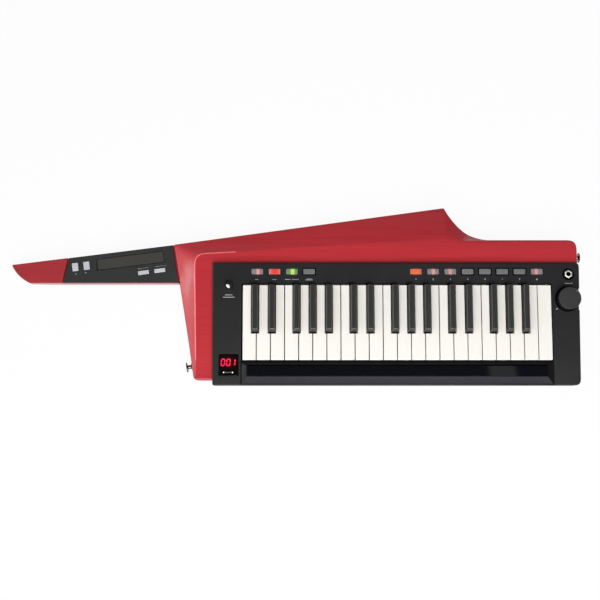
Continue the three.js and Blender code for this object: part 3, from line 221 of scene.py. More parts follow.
def polished_plastic(name, colour, roughness, variation=0.04, **sockets):
    """A polished moulding with faint handling marks in its gloss."""
    shader = Shader(name, colour, roughness, **sockets)
    marks = shader.noise(shader.mapped((4, 1, 1)), 55.0, 5.0, 0.65)
    shader.vary(marks, colour, variation)
    shader.rough(marks, roughness * 0.8, roughness * 1.35)
    shader.bump(marks, 0.02, 0.05)
    return shader.material


def plated_metal(name, colour, roughness):
    """Chrome or nickel plate with a fine turned grain."""
    shader = Shader(name, colour, roughness, Metallic=1.0)
    marks = shader.noise(shader.mapped((1, 1, 6)), 260.0, 3.0)
    haze = shader.noise(shader.mapped((1, 1, 1)), 90.0, 3.0)
    shader.colour(shader.ramp(haze, (0.25, toned(colour, 0.86)), (0.6, colour)))
    shader.rough(marks, roughness * 0.7, roughness * 1.6)
    shader.bump(marks, 0.03, 0.05)
    return shader.material


def felt(name, colour):
    """Pressed felt, whose raised fibres are lighter."""
    shader = Shader(name, colour, 0.95, Sheen_Weight=0.4)
    fibres = shader.noise(shader.mapped((1, 1, 1)), 900.0, 5.0, 0.75)
    lighter = tuple(min(1.0, c * 1.7 + 0.01) for c in colour[:3]) + (1.0,)
    shader.colour(shader.ramp(fibres, (0.35, colour), (0.7, lighter)))
    shader.bump(fibres, 0.6, 0.3)
    return shader.material


def lit_from_below(name, colour, tint, glow, middle, spread, strength, roughness=0.42):
    """Frosted plastic over a small lamp: it is tinted and glows there, and fades to its own colour."""
    shader = Shader(name, colour, roughness, Emission_Strength=strength)
    frost = shader.noise(shader.mapped((1, 1, 1)), 700.0, 3.0, 0.6)
    place = shader.mapped(
        (1 / (spread[0] * MM), 1 / (spread[1] * MM), 0.0),
        (-middle[0] / spread[0], -middle[1] / spread[1], 0),
    )
    halo = shader.node("ShaderNodeTexGradient", gradient_type="SPHERICAL")
    shader.link(place, halo.inputs["Vector"])
    near = shader.ramp(halo.outputs["Fac"], (0.0, BLACK), (0.3, (0.3, 0.3, 0.3, 1.0)), (0.62, WHITE))
    mottled = shader.mix(0.12, near, frost, "MULTIPLY")
    shader.colour(shader.mix(near, colour, tint))
    shader.link(shader.mix(mottled, BLACK, glow), shader.surface.inputs["Emission Color"])
    shader.bump(frost, 0.12, 0.06)
    return shader.material


def lamp(name, colour, strength):
    """A lit mark: a lamp's own colour, a little uneven as light through frosted plastic is."""
    shader = Shader(name, colour, 0.4, Emission_Strength=strength)
    haze = shader.noise(shader.mapped((1, 1, 1)), 500.0, 2.0)
    uneven = shader.ramp(haze, (0.3, toned(colour, 0.85)), (0.6, colour))
    shader.colour(uneven)
    shader.link(uneven, shader.surface.inputs["Emission Color"])
    return shader.material


WOOD = lacquered_wood()
# Painted highlight: a pale pink for the rounded ridge by the neck.
RIDGE_PAINTED_HIGHLIGHT = polished_plastic(
    "ridge_painted_highlight", srgb(250, 116, 118), 0.3, 0.03, Coat_Weight=0.5, Coat_Roughness=0.1
)
PANEL = satin_plastic("panel_plastic", srgb(21, 21, 23), 0.44, 0.12, 0.06, Specular_IOR_Level=0.44)
FRONT_RAIL = satin_plastic(
    "front_rail_plastic", srgb(11, 11, 13), 0.28, 0.04, 0.05, Specular_IOR_Level=0.18
)
# Painted light: a paler plastic for the tray's front slope, which faces the light.
SLOPE_PAINTED_LIGHT = satin_plastic("tray_slope_painted_light", srgb(60, 59, 66), 0.36, 0.04, 0.05)
NECK_PANEL = satin_plastic("neck_panel_plastic", srgb(40, 41, 41), 0.42, 0.1, 0.06)
KNOB = satin_plastic("knob_plastic", srgb(42, 42, 42), 0.5, 0.12, 0.05)
# Painted shade for the knob's side.
KNOB_SIDE_PAINTED_SHADE = satin_plastic("knob_side_painted_shade", srgb(12, 12, 13), 0.4, 0.2, 0.05)
BUSH = satin_plastic("bush_plastic", srgb(5, 5, 6), 0.5, Specular_IOR_Level=0.2)
# Painted shade: flat black for the wells round the knob and the jack, and for the bezels round the caps.
PAINTED_SHADE_BLACK = satin_plastic("painted_shade_black_plastic", srgb(3, 3, 4), 0.6, 0.05, 0.1, Specular_IOR_Level=0.05)
NUT = plated_metal("satin_nickel", srgb(250, 248, 240), 0.42)
TIP = polished_plastic("toggle_sleeve", srgb(244, 244, 242), 0.35, 0.01)
IVORY = polished_plastic("white_key_plastic", srgb(245, 242, 235), 0.24, 0.008)
EBONY = satin_plastic("black_key_plastic", srgb(40, 40, 39), 0.36, 0.08, 0.05)
# Painted shade on the black keys' sides and a painted highlight on their rims.
EBONY_PAINTED_SHADE = satin_plastic("black_key_side_painted_shade", srgb(13, 13, 13), 0.5, 0.12, 0.05, Specular_IOR_Level=0.25)
EBONY_PAINTED_HIGHLIGHT = satin_plastic("black_key_rim_painted_highlight", srgb(74, 73, 72), 0.3, 0.04, 0.05)
RIBBON = polished_plastic("ribbon_film", srgb(4, 6, 13), 0.04, Coat_Weight=0.3, Coat_Roughness=0.03)
NECK_RIBBON = satin_plastic("neck_ribbon_film", srgb(62, 60, 55), 0.35, 0.05, 0.05)
CHROME = plated_metal("chrome_plate", srgb(226, 224, 218), 0.12)
STEEL = plated_metal("dark_steel", srgb(128, 124, 120), 0.3)
# Painted shade: the key frame is made dark where it shows through the gaps in front of the keys.
CHASSIS_PAINTED_SHADE = satin_plastic("key_frame_painted_shade", srgb(20, 20, 21), 0.6, Specular_IOR_Level=0.2)
BOARD = satin_plastic("board_mask", srgb(24, 74, 48), 0.45)
PIN_FELT = felt("pin_felt", srgb(26, 16, 15))
SILVER_CAP = satin_plastic("silver_caps", srgb(196, 198, 203), 0.36, 0.08, 0.05)
GREY_CAP = satin_plastic("grey_caps", srgb(109, 112, 111), 0.42, 0.08, 0.06)
PRINT = satin_plastic("printed_marks", srgb(206, 207, 207), 0.55, 0.0, 0.04)
FAINT_PRINT = satin_plastic("faint_marks", srgb(164, 166, 170), 0.5, 0.0, 0.04)
PIN_PLATE = plated_metal("pin_plate", srgb(112, 108, 104), 0.16)
COVER = satin_plastic("cover_plastic", srgb(34, 34, 36), 0.5, 0.3)
DIGIT = lamp("digit_lamps", (1.0, 0.006, 0.05, 1.0), 0.66)
DOT = lamp("dot_lamps", srgb(225, 232, 214), 0.7)


# Pieces. Edges that turn more than this many degrees are eased, unless a piece says otherwise.
EDGE_ANGLE = 34.0
JOINED_WITHIN = 0.004
FLAT_WITHIN = 0.4


def tell(piece, body, slot, *replaced):
    """Makes a piece move with its body and hides the solids that it stands for; its slot is not used."""
    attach(piece, body)
    if replaced:
        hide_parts(*replaced)
    return piece


def new_object(name, mesh, *materials):
    piece = bpy.data.objects.new(name, mesh)
    bpy.context.scene.collection.objects.link(piece)
    piece.data.materials.clear()
    for material in materials:
        piece.data.materials.append(material)
    return piece


def settled_mesh(holder):
    """The plain mesh that a text or a node tree comes to; the holder itself goes."""
    bpy.context.view_layer.update()
    mesh = bpy.data.meshes.new_from_object(holder.evaluated_get(bpy.context.evaluated_depsgraph_get()))
    bpy.data.objects.remove(holder)
    return mesh


def soften(piece, width, segments=2, angle=EDGE_ANGLE):
    """Eases the piece's edges and shades it smoothly between its flat faces."""
    for polygon in piece.data.polygons:
        polygon.use_smooth = True
    piece.data.set_sharp_from_angle(angle=math.radians(angle))
    if width:
        bevel = piece.modifiers.new("eased_edges", "BEVEL")
        bevel.width = width * MM
        bevel.segments = segments
        bevel.limit_method = "ANGLE"
        bevel.angle_limit = math.radians(angle)
        bevel.use_clamp_overlap = False
        bevel.harden_normals = True
    weighted = piece.modifiers.new("flat_faces_stay_flat", "WEIGHTED_NORMAL")
    weighted.keep_sharp = True
    return piece


def whole_mesh(node):
    """A node's surface with its loose triangles joined and its flat faces made whole."""
    mesh = nodes[node].data.copy()
    form = bmesh.new()
    form.from_mesh(mesh)
    bmesh.ops.remove_doubles(form, verts=form.verts, dist=JOINED_WITHIN * MM)
    flat = math.radians(FLAT_WITHIN)
    bmesh.ops.dissolve_limit(form, angle_limit=flat, verts=form.verts, edges=form.edges)
    form.to_mesh(mesh)
    form.free()
    return mesh


def dress(node, body, slot, material, width, segments=2, angle=EDGE_ANGLE):
    """The node's own shape with eased edges and its finish, in the node's place."""
    piece = new_object("dressed_" + node, whole_mesh(node), material)
    soften(piece, width, segments, angle)
    return tell(piece, body, slot, node)


def ring_outline(x, y, radius, count):
    angles = [2 * math.pi * i / count for i in range(count)]
    return [(x + radius * math.cos(angle), y + radius * math.sin(angle)) for angle in angles]


def rectangle(x0, x1, y0, y1):
    return [(x0, y0), (x1, y0), (x1, y1), (x0, y1)]


def turned(name, profile, place, material, steps=64, aim=None):
    """A piece turned on a lathe: points of radius and height round an axis that starts at place."""
    form = bmesh.new()
    rings = []
    for radius, height in profile:
        if radius == 0:
            rings.append([form.verts.new((0, 0, height * MM))])
            continue
        ring = ring_outline(0, 0, radius, steps)
        rings.append([form.verts.new((x * MM, y * MM, height * MM)) for x, y in ring])
    for low, high in zip(rings, rings[1:]):
        for i in range(steps):
            j = (i + 1) % steps
            corners = [low[i % len(low)], low[j % len(low)], high[j % len(high)], high[i % len(high)]]
            form.faces.new(list(dict.fromkeys(corners)))
    bmesh.ops.recalc_face_normals(form, faces=form.faces)
    mesh = bpy.data.meshes.new(name)
    form.to_mesh(mesh)
    form.free()
    turn = aim.to_track_quat("Z", "Y").to_matrix().to_4x4() if aim else Matrix.Identity(4)
    mesh.transform(Matrix.Translation(Vector(place) * MM) @ turn)
    piece = new_object(name, mesh, material)
    return soften(piece, 0)


def prism(form, outline, z, height):
    """Adds a flat shape, drawn counter-clockwise in millimetres, standing height above z."""
    low = [form.verts.new((x * MM, y * MM, z * MM)) for x, y in outline]
    high = [form.verts.new((x * MM, y * MM, (z + height) * MM)) for x, y in outline]
    form.faces.new(high)
    form.faces.new(low[::-1])
    for i in range(len(outline)):
        j = (i + 1) % len(outline)
        form.faces.new((low[i], low[j], high[j], high[i]))


def flat_marks(name, outlines, z, height, material, body, slot):
    """One piece of all the flat shapes that a print or a lamp shows."""
    form = bmesh.new()
    for outline in outlines:
        prism(form, outline, z, height)
    mesh = bpy.data.meshes.new(name)
    form.to_mesh(mesh)
    form.free()
    return tell(new_object(name, mesh, material), body, slot)


def box_of(node):
    """A node's lowest and highest corners, in millimetres."""
    low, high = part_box(node)
    return low / MM, high / MM


def middle_of(node):
    low, high = box_of(node)
    return (low + high) / 2


# Wooden body and its fittings. The ridge's painted highlight ends at these places to the right and in
# front.
RIDGE_WIDTH = 0.95
RIDGE_END_X = -90.0
RIDGE_END_Y = -92.0
RIDGE_LEVEL_WITHIN = 0.02
RIDGE_TURN = 5.0
BODY_EDGE_WIDTH = 1.1
BODY_EDGE_ANGLE = 38.0
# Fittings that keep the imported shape: slot, finish and the width of the eased edges
FITTINGS = {
    "neck_panel": ("black_plastic", NECK_PANEL, 0.3),
    "short_ribbon": ("grey_ribbon", NECK_RIBBON, 0.2),
    "battery_cover": ("black_plastic", COVER, 0.25),
    "circuit_board": ("board", BOARD, 0),
    "key_frame": ("frame_grey", CHASSIS_PAINTED_SHADE, 0),
}


def ease_ridge(piece):
    """Rounds the platform's ridge by the neck and paints a pale highlight on the rounding."""
    piece.data.materials.append(RIDGE_PAINTED_HIGHLIGHT)
    form = bmesh.new()
    form.from_mesh(piece.data)
    weights = form.edges.layers.float.new("bevel_weight_edge")
    top = max(vertex.co.z for vertex in form.verts)
    for edge in form.edges:
        middle = (edge.verts[0].co + edge.verts[1].co) / 2 / MM
        on_ridge = all(top - vertex.co.z < RIDGE_LEVEL_WITHIN * MM for vertex in edge.verts)
        if on_ridge and math.degrees(edge.calc_face_angle(0.0)) > RIDGE_TURN:
            edge[weights] = float(middle.x < RIDGE_END_X and middle.y > RIDGE_END_Y)
    form.to_mesh(piece.data)
    form.free()
    ridge = piece.modifiers.new("eased_ridge", "BEVEL")
    ridge.width = RIDGE_WIDTH * MM
    ridge.segments = 2
    ridge.limit_method = "WEIGHT"
    ridge.use_clamp_overlap = False
    # The rounding takes the painted highlight.
    ridge.material = 1
    while piece.modifiers[0] != ridge:
        piece.modifiers.move(piece.modifiers.find(ridge.name), 0)


def add_body():
    ease_ridge(dress("body", ROOT, "lacquered_wood", WOOD, BODY_EDGE_WIDTH, 3, BODY_EDGE_ANGLE))
    for node, (slot, material, width) in FITTINGS.items():
        dress(node, ROOT, slot, material, width)


# Panel, and its finishes in front of the keys, by the place of each in the list of materials. The slope's
# finish is painted light.
PANEL_EDGE_WIDTH = 0.35
PANEL_EDGE_ANGLE = 40.0
CHEEK_FINISH, RAIL_FINISH, SLOPE_PAINTED_LIGHT_FINISH = 0, 1, 2
TRAY_PAST_KEYS = 2.5
TRAY_FROM_HEIGHT = 44
SLOPING = 0.3


def tray_finish(normal):
    """The tray's front slope takes a paler plastic, painted light where it faces the light; its left wall
    is like the cheeks.
    """
    if normal.z > SLOPING and normal.y > SLOPING:
        return SLOPE_PAINTED_LIGHT_FINISH
    if normal.z > SLOPING and normal.x > SLOPING:
        return CHEEK_FINISH
    return RAIL_FINISH


def add_control_panel():
    """The moulded panel, whose rail in front of the keys is smoother than the cheeks and the rear strip,
    and whose tray slope is painted lighter.
    """
    panel = dress("control_panel", ROOT, "black_plastic", PANEL, PANEL_EDGE_WIDTH, 2, PANEL_EDGE_ANGLE)
    panel.data.materials.append(FRONT_RAIL)
    panel.data.materials.append(SLOPE_PAINTED_LIGHT)
    keys_low, keys_high = box_of("white_key_01")[0], box_of("white_key_22")[1]
    for polygon in panel.data.polygons:
        x, y, z = polygon.center / MM
        between = keys_low.x - TRAY_PAST_KEYS < x < keys_high.x + TRAY_PAST_KEYS
        if between and y < keys_low.y and z > TRAY_FROM_HEIGHT:
            polygon.material_index = tray_finish(polygon.normal)
    dress("long_ribbon", ROOT, "ribbon", RIBBON, 0.3)


# Display. Places are measured from the window's left front corner.
DIGIT_SEGMENTS = {"0": "abcdef", "1": "bc"}
DIGIT_SIZE = (6.2, 10.7)
DIGIT_STROKE = 1.5
DIGIT_LEAN = 0.09
DIGIT_GAP = 0.12
DIGITS = (("0", 2.9), ("0", 10.7), ("1", 17.6))
DIGIT_FOOT = 14.1
DOTS = (7.5, 20.3)
DOT_RADIUS = 0.95
DOT_STEPS = 20
RULE_SHORT_OF_DOTS = 1.9
RULE_HALF_WIDTH = 0.4
MARK_SINK = 0.02
LIT_MARK_HEIGHT = 0.05
RULE_HEIGHT = 0.04
HAZE_CENTRE = (12.5, 19.5)
HAZE_SPREAD = (17.0, 11.0)
HAZE_GLOW = (0.042, 0.001, 0.004, 1.0)
WINDOW_BLACK = srgb(5, 3, 4)
WINDOW_ROUGHNESS = 0.1
DOT_LINE_ABOVE_EDGE = 5.0


def segment_outline(key, left, foot):
    """One bar of a seven-bar figure, pointed at both ends and leaning with the figure."""
    width, height = DIGIT_SIZE
    half = DIGIT_STROKE / 2
    level = {"a": height - half, "d": half}
    if key in level:
        y = level[key]
        x0, x1 = half + DIGIT_GAP, width - half - DIGIT_GAP
        left_end, right_end = x0 + half, x1 - half
        bar = [
            (x0, y), (left_end, y - half), (right_end, y - half),
            (x1, y), (right_end, y + half), (left_end, y + half),
        ]
    else:
        x = half if key in "ef" else width - half
        y0 = (height / 2 if key in "bf" else half) + DIGIT_GAP
        y1 = (height - half if key in "bf" else height / 2) - DIGIT_GAP
        foot_end, head_end = y0 + half, y1 - half
        bar = [
            (x, y0), (x + half, foot_end), (x + half, head_end),
            (x, y1), (x - half, head_end), (x - half, foot_end),
        ]
    return [(left + x + y * DIGIT_LEAN, foot + y) for x, y in bar]


def add_display():
    """The lit figures behind the window's surface, and the two white dots below them."""
    low, high = box_of("display_window")
    marks_at = high.z - MARK_SINK
    haze = (low.x + HAZE_CENTRE[0], low.y + HAZE_CENTRE[1])
    window = lit_from_below(
        "window_acrylic", WINDOW_BLACK, WINDOW_BLACK, HAZE_GLOW, haze, HAZE_SPREAD, 1.0, WINDOW_ROUGHNESS
    )
    dress("display_window", ROOT, "window", window, 0.3)
    bars = [
        segment_outline(key, low.x + left, low.y + DIGIT_FOOT)
        for figure, left in DIGITS
        for key in DIGIT_SEGMENTS[figure]
    ]
    flat_marks("display_figures", bars, marks_at, LIT_MARK_HEIGHT, DIGIT, ROOT, "window")
    y = low.y + DOT_LINE_ABOVE_EDGE
    left, right = (low.x + x for x in DOTS)
    dots = [ring_outline(x, y, DOT_RADIUS, DOT_STEPS) for x in (left, right)]
    flat_marks("display_dots", dots, marks_at, LIT_MARK_HEIGHT, DOT, ROOT, "window")
    ends = (left + RULE_SHORT_OF_DOTS, right - RULE_SHORT_OF_DOTS)
    rule = [rectangle(*ends, y - RULE_HALF_WIDTH, y + RULE_HALF_WIDTH)]
    flat_marks("display_rule", rule, marks_at, RULE_HEIGHT, GREY_CAP, ROOT, "window")


# Keys
WHITE_KEY_EDGE = 0.55
BLACK_TOP_SHARE = 0.84
BLACK_RIM = 0.8
TOP_WITHIN = 0.05


def add_keys():
    for node in nodes:
        if node.startswith("white_key"):
            dress(node, node, "white_keys", IVORY, WHITE_KEY_EDGE, 3)
        elif node.startswith("black_key"):
            shape_black_key(dress(node, node, "black_keys", EBONY, BLACK_RIM, 3))


def shape_black_key(key):
    """Draws the key's top in, so that its sides show from above, paints shade on the sides and paints a
    highlight on the rim round the top.
    """
    xs = [vertex.co.x for vertex in key.data.vertices]
    middle = (min(xs) + max(xs)) / 2
    top = max(vertex.co.z for vertex in key.data.vertices)
    for vertex in key.data.vertices:
        if top - vertex.co.z < TOP_WITHIN * MM:
            vertex.co.x = middle + (vertex.co.x - middle) * BLACK_TOP_SHARE
    key.data.materials.append(EBONY_PAINTED_SHADE)
    key.data.materials.append(EBONY_PAINTED_HIGHLIGHT)
    for polygon in key.data.polygons:
        # The sides take the painted shade and the rim the painted highlight.
        if polygon.normal.z < SLOPING:
            polygon.material_index = 1
    key.modifiers["eased_edges"].material = 2


# Buttons. Each lit cap: the lamp's place along the cap, the cap's own colour, its tint and glow over the
# lamp, how far the lamp spreads and how bright it is.
PALE_RED = (srgb(132, 127, 126), srgb(150, 112, 112), (1.0, 0.34, 0.36, 1.0))
RED = (srgb(196, 128, 128), srgb(176, 52, 46), (1.0, 0.05, 0.02, 1.0))
ORANGE = (srgb(180, 114, 104), srgb(172, 56, 44), (1.0, 0.17, 0.02, 1.0))
GREEN = (srgb(116, 138, 108), srgb(122, 166, 72), (0.62, 1.0, 0.11, 1.0))
LIT_FUNCTION_CAPS = {
    1: (0.9, PALE_RED, (3.6, 15.0), 0.5),
    2: (0.6, RED, (8.6, 20.0), 0.42),
    3: (1.0, GREEN, (4.4, 13.0), 0.5),
}
LIT_PROGRAM_CAPS = {
    1: (-0.4, ORANGE, (7.6, 17.0), 0.58),
    2: (0.3, PALE_RED, (3.5, 15.0), 0.48),
    3: (-0.3, PALE_RED, (3.6, 15.0), 0.4),
    8: (-0.9, PALE_RED, (3.7, 15.0), 0.42),
}
# Painted glow on the frames round lit caps: its share of the lamp's strength, its spread and roughness.
SPILL_SHARE = 0.14
SPILL_SPREAD = (8.0, 20.0)
SPILL_ROUGHNESS = 0.55
FRAME_SHADE = srgb(4, 4, 5)
CAP_SIZE = (16.6, 7.8)
CAP_CORNER = 0.9
LEAST_CORNER = 0.2
CAP_FLANGE = 1.3
CAP_FLANGE_HEIGHT = 1.4
CAP_FOOT = 47.3
CAP_TOP = 53.0
PANEL_TOP = 52.0
FRAME_GAP = 0.25
FRAME_WIDTH = 1.35
FRAME_RISE = 0.15
PROGRAM_COUNT = 8
CARRIER_INSET = 0.6
CARRIER_RISE = 0.2
CARRIER_HEIGHT = 1.0
NECK_BUTTON_EDGE = 0.35


def rounded_outline(width, length, corner, steps=4):
    outline = []
    for turn, (sx, sy) in enumerate(((1, 1), (-1, 1), (-1, -1), (1, -1))):
        for i in range(steps + 1):
            angle = math.pi / 2 * (turn + i / steps)
            outline.append(
                (
                    sx * (width / 2 - corner) + corner * math.cos(angle),
                    sy * (length / 2 - corner) + corner * math.sin(angle),
                )
            )
    return outline


def cap_mesh(name, x, y):
    """A cap with rounded corners and a slightly crowned top, from its flange up."""
    form = bmesh.new()
    levels = (
        (CAP_FOOT, CAP_FLANGE),
        (CAP_FOOT + CAP_FLANGE_HEIGHT, CAP_FLANGE),
        (CAP_FOOT + CAP_FLANGE_HEIGHT, 0.0),
        (CAP_TOP - 0.5, 0.0),
        (CAP_TOP - 0.18, -0.14),
        (CAP_TOP - 0.04, -0.5),
        (CAP_TOP, -1.6),
    )
    rings = []
    for z, grow in levels:
        corner = max(LEAST_CORNER, CAP_CORNER + grow)
        outline = rounded_outline(CAP_SIZE[0] + 2 * grow, CAP_SIZE[1] + 2 * grow, corner)
        rings.append([form.verts.new((px * MM, py * MM, z * MM)) for px, py in outline])
    for low, high in zip(rings, rings[1:]):
        for i in range(len(low)):
            j = (i + 1) % len(low)
            form.faces.new((low[i], low[j], high[j], high[i]))
    form.faces.new(rings[0][::-1])
    form.faces.new(rings[-1])
    mesh = bpy.data.meshes.new(name)
    form.to_mesh(mesh)
    form.free()
    mesh.transform(Matrix.Translation((x * MM, y * MM, 0)))
    return mesh


def add_cap_frame(name, x, y, material):
    """A thin black bezel round a cap, painted shade where the gap round the cap is dark."""
    form = bmesh.new()
    half_length, half_width = CAP_SIZE[0] / 2 + FRAME_GAP, CAP_SIZE[1] / 2 + FRAME_GAP
    outer_length, outer_width = half_length + FRAME_WIDTH, half_width + FRAME_WIDTH
    for x0, x1, y0, y1 in (
        (-outer_length, outer_length, half_width, outer_width),
        (-outer_length, outer_length, -outer_width, -half_width),
        (-outer_length, -half_length, -half_width, half_width),
        (half_length, outer_length, -half_width, half_width),
    ):
        # The bezel's black is painted shade.
        prism(form, rectangle(x + x0, x + x1, y + y0, y + y1), PANEL_TOP, FRAME_RISE)
    mesh = bpy.data.meshes.new(name)
    form.to_mesh(mesh)
    form.free()
    tell(new_object(name, mesh, material), ROOT, "black_plastic")


def add_cap(name, x, y, lit, body, *replaced):
    """A cap in its frame. The cap glows where a lamp is on under it, and the frame takes a painted glow of
    that lamp's spill.
    """
    material, frame_material = GREY_CAP, PAINTED_SHADE_BLACK
    if lit:
        shift, (colour, tint, glow), spread, strength = lit
        lamp_place = (x + shift, y)
        material = lit_from_below(name + "_lens", colour, tint, glow, lamp_place, spread, strength)
        # Painted glow: the lamp's light spilling onto the frame.
        deep = tuple(channel**2 for channel in glow)
        frame_material = lit_from_below(
            name + "_painted_glow_frame", FRAME_SHADE, FRAME_SHADE, deep, lamp_place, SPILL_SPREAD,
            strength * SPILL_SHARE, SPILL_ROUGHNESS,
        )
    add_cap_frame(name + "_frame", x, y, frame_material)
    piece = new_object(name, cap_mesh(name, x, y), material)
    soften(piece, 0)
    return tell(piece, body, "clear_caps", *replaced)


def program_places():
    """The X of each program button's middle, from left to right."""
    low, high = box_of("program_buttons")
    first, last = low.x + CAP_FLANGE + CAP_SIZE[0] / 2, high.x - CAP_FLANGE - CAP_SIZE[0] / 2
    return [first + (last - first) * i / (PROGRAM_COUNT - 1) for i in range(PROGRAM_COUNT)]


def add_panel_buttons():
    for i in range(1, 5):
        node = "function_button_%d" % i
        place = middle_of(node)
        add_cap("function_cap_%d" % i, place.x, place.y, LIT_FUNCTION_CAPS.get(i), node, node)
    low, high = box_of("program_buttons")
    y = (low.y + high.y) / 2
    places = program_places()
    for number, x in enumerate(places, 1):
        add_cap("program_cap_%d" % number, x, y, LIT_PROGRAM_CAPS.get(number), "program_buttons")
    strip = [rectangle(places[0], places[-1], low.y + CARRIER_INSET, high.y - CARRIER_INSET)]
    foot = CAP_FOOT + CARRIER_RISE
    carrier = flat_marks(
        "program_carrier", strip, foot, CARRIER_HEIGHT, GREY_CAP, "program_buttons", "clear_caps"
    )
    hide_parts("program_buttons")


def add_neck_buttons():
    for node in ("octave_down_button", "octave_up_button", "pitch_button", "modulation_button"):
        dress(node, node, "silver_caps", SILVER_CAP, NECK_BUTTON_EDGE, 3)


# Knob, toggle, jack and pins. Profiles are points of radius and height. The knob's and the collar's
# heights are above the back, the jack lip's above the nut, and the others' along their own axis.
KNOB_PROFILE = (
    (0, 60.1), (3.3, 60.1), (3.3, 50.8), (6.0, 50.8), (6.0, 56.8), (14.0, 56.8), (14.0, 50.8), (15.9, 50.8),
    (16.3, 51.2), (16.4, 63.4), (16.3, 64.7), (16.0, 65.4), (15.6, 65.85), (15.1, 66.0), (0, 66.0),
)
KNOB_FACE_RADIUS = 15.5
KNOB_POINTER = (46, 13.9, 15.3)
KNOB_POINTER_HALF = 0.3
KNOB_WELL_RADII = (4.2, 18.05)
WELL_FLOOR = 50.52
SHADE_RING_HEIGHT = 0.07
PRINT_HEIGHT = 0.03
LEVER_PROFILE = (
    (0, -2.5), (1.6, -2.5), (2.0, 2.0), (2.5, 8.0), (3.0, 14.0), (3.25, 16.0),
    (3.25, 17.4), (2.9, 18.3), (2.1, 18.8), (1.0, 19.0), (0, 19.0),
)
TIP_SLEEVE_START = 9.0
TIP_ROUND_UNTIL = 5.0
TIP_FLAT_FROM = 13.0
TIP_NARROWNESS = 0.64
TIP_NARROW_WAY = (0.73, 0.68, 0.0)
LEVER_PIVOT_Y = 13.4
LEVER_LEAN = 12.0
COLLAR_PROFILE = (
    (4.1, 52.0), (6.4, 52.02), (6.4, 52.6), (5.75, 53.1), (5.75, 55.45), (4.1, 55.45), (4.1, 52.0),
)
JACK_EDGE = 0.5
JACK_BORE = 3.5
NUT_BELOW_PANEL = 1.5
NUT_TOP_WITHIN = 0.1
JACK_WELL_RADII = (4.95, 8.7)
JACK_LIP = ((3.3, -0.6), (4.5, -0.6), (4.5, 0.3), (4.2, 0.5), (3.7, 0.5), (3.3, 0.2), (3.3, -0.6))
PIN_PROFILE = (
    (0, -16), (0.6, -15.6), (2.0, -13), (2.0, 1.9), (4.4, 1.9), (4.4, 2.3),
    (3.0, 3.2), (3.0, 6.6), (3.6, 7.6), (5.2, 8.0), (7.0, 8.0), (7.5, 8.4),
    (7.5, 9.2), (7.1, 9.6), (3.2, 9.6), (2.6, 9.1), (0, 9.0),
)
FELT_PROFILE = ((2.3, 0.3), (5.7, 0.3), (6.0, 0.7), (6.0, 1.4), (5.7, 1.85), (2.3, 1.85), (2.3, 0.3))
PIN_HEIGHT = 18.0
PIN_REACH = 9.6
LEFT_PIN_START = (-152.64, -102.9)
LEFT_PIN_WAY = (-0.98655, -0.16344, 0)


def add_knob():
    place = middle_of("volume_knob")
    knob = turned("dressed_volume_knob", KNOB_PROFILE, (place.x, place.y, 0), KNOB, 96)
    knob.data.materials.append(KNOB_SIDE_PAINTED_SHADE)
    # The side outside the face takes the painted shade.
    for polygon in knob.data.polygons:
        centre = polygon.center / MM
        if math.hypot(centre.x - place.x, centre.y - place.y) > KNOB_FACE_RADIUS:
            polygon.material_index = 1
    tell(knob, "volume_knob", "black_plastic", "volume_knob")
    pointer = [radial_mark(place, *KNOB_POINTER, KNOB_POINTER_HALF)]
    top = box_of("volume_knob")[1].z
    flat_marks("knob_pointer", pointer, top, PRINT_HEIGHT, PRINT, "volume_knob", "black_plastic")
    well_lining("knob_well_lining", place, *KNOB_WELL_RADII)


def radial_mark(place, angle, near, far, half):
    """A short line that points away from place."""
    way = Vector((math.cos(math.radians(angle)), math.sin(math.radians(angle))))
    across = Vector((-way.y, way.x)) * half
    start, end = place.xy + way * near, place.xy + way * far
    return [tuple(start - across), tuple(end - across), tuple(end + across), tuple(start + across)]


def well_lining(name, place, inner, outer):
    """A dark ring of painted shade that lies in a round well of the panel."""
    top = WELL_FLOOR + SHADE_RING_HEIGHT
    ring = ((inner, WELL_FLOOR), (outer, WELL_FLOOR), (outer, top), (inner, top), (inner, WELL_FLOOR))
    tell(turned(name, ring, (place.x, place.y, 0), PAINTED_SHADE_BLACK, 64), ROOT, "black_plastic")


def flatten_tip(mesh, pivot, aim):
    """Presses the lever's outer half flat, so that its end is a narrow oval turned to one side."""
    across = Vector(TIP_NARROW_WAY).normalized()
    across = (across - across.dot(aim) * aim).normalized()
    for vertex in mesh.vertices:
        from_pivot = vertex.co / MM - pivot
        along = (from_pivot.dot(aim) - TIP_ROUND_UNTIL) / (TIP_FLAT_FROM - TIP_ROUND_UNTIL)
        share = min(1.0, max(0.0, along))
        vertex.co -= across * from_pivot.dot(across) * share * (1 - TIP_NARROWNESS) * MM


def add_toggle():
    low, high = box_of("toggle_lever")
    lean = math.radians(LEVER_LEAN)
    pivot = ((low.x + high.x) / 2, LEVER_PIVOT_Y, PANEL_TOP)
    aim = Vector((0, -math.sin(lean), math.cos(lean)))
    lever = turned("dressed_toggle_lever", LEVER_PROFILE, pivot, CHROME, 40, aim)
    lever.data.materials.append(TIP)
    for polygon in lever.data.polygons:
        if (polygon.center / MM - Vector(pivot)).dot(aim) > TIP_SLEEVE_START:
            polygon.material_index = 1
    flatten_tip(lever.data, Vector(pivot), aim)
    tell(lever, "toggle_lever", "chrome", "toggle_lever")
    ring = turned("toggle_collar", COLLAR_PROFILE, (pivot[0], pivot[1], 0), BUSH, 48)
    tell(ring, ROOT, "black_plastic")


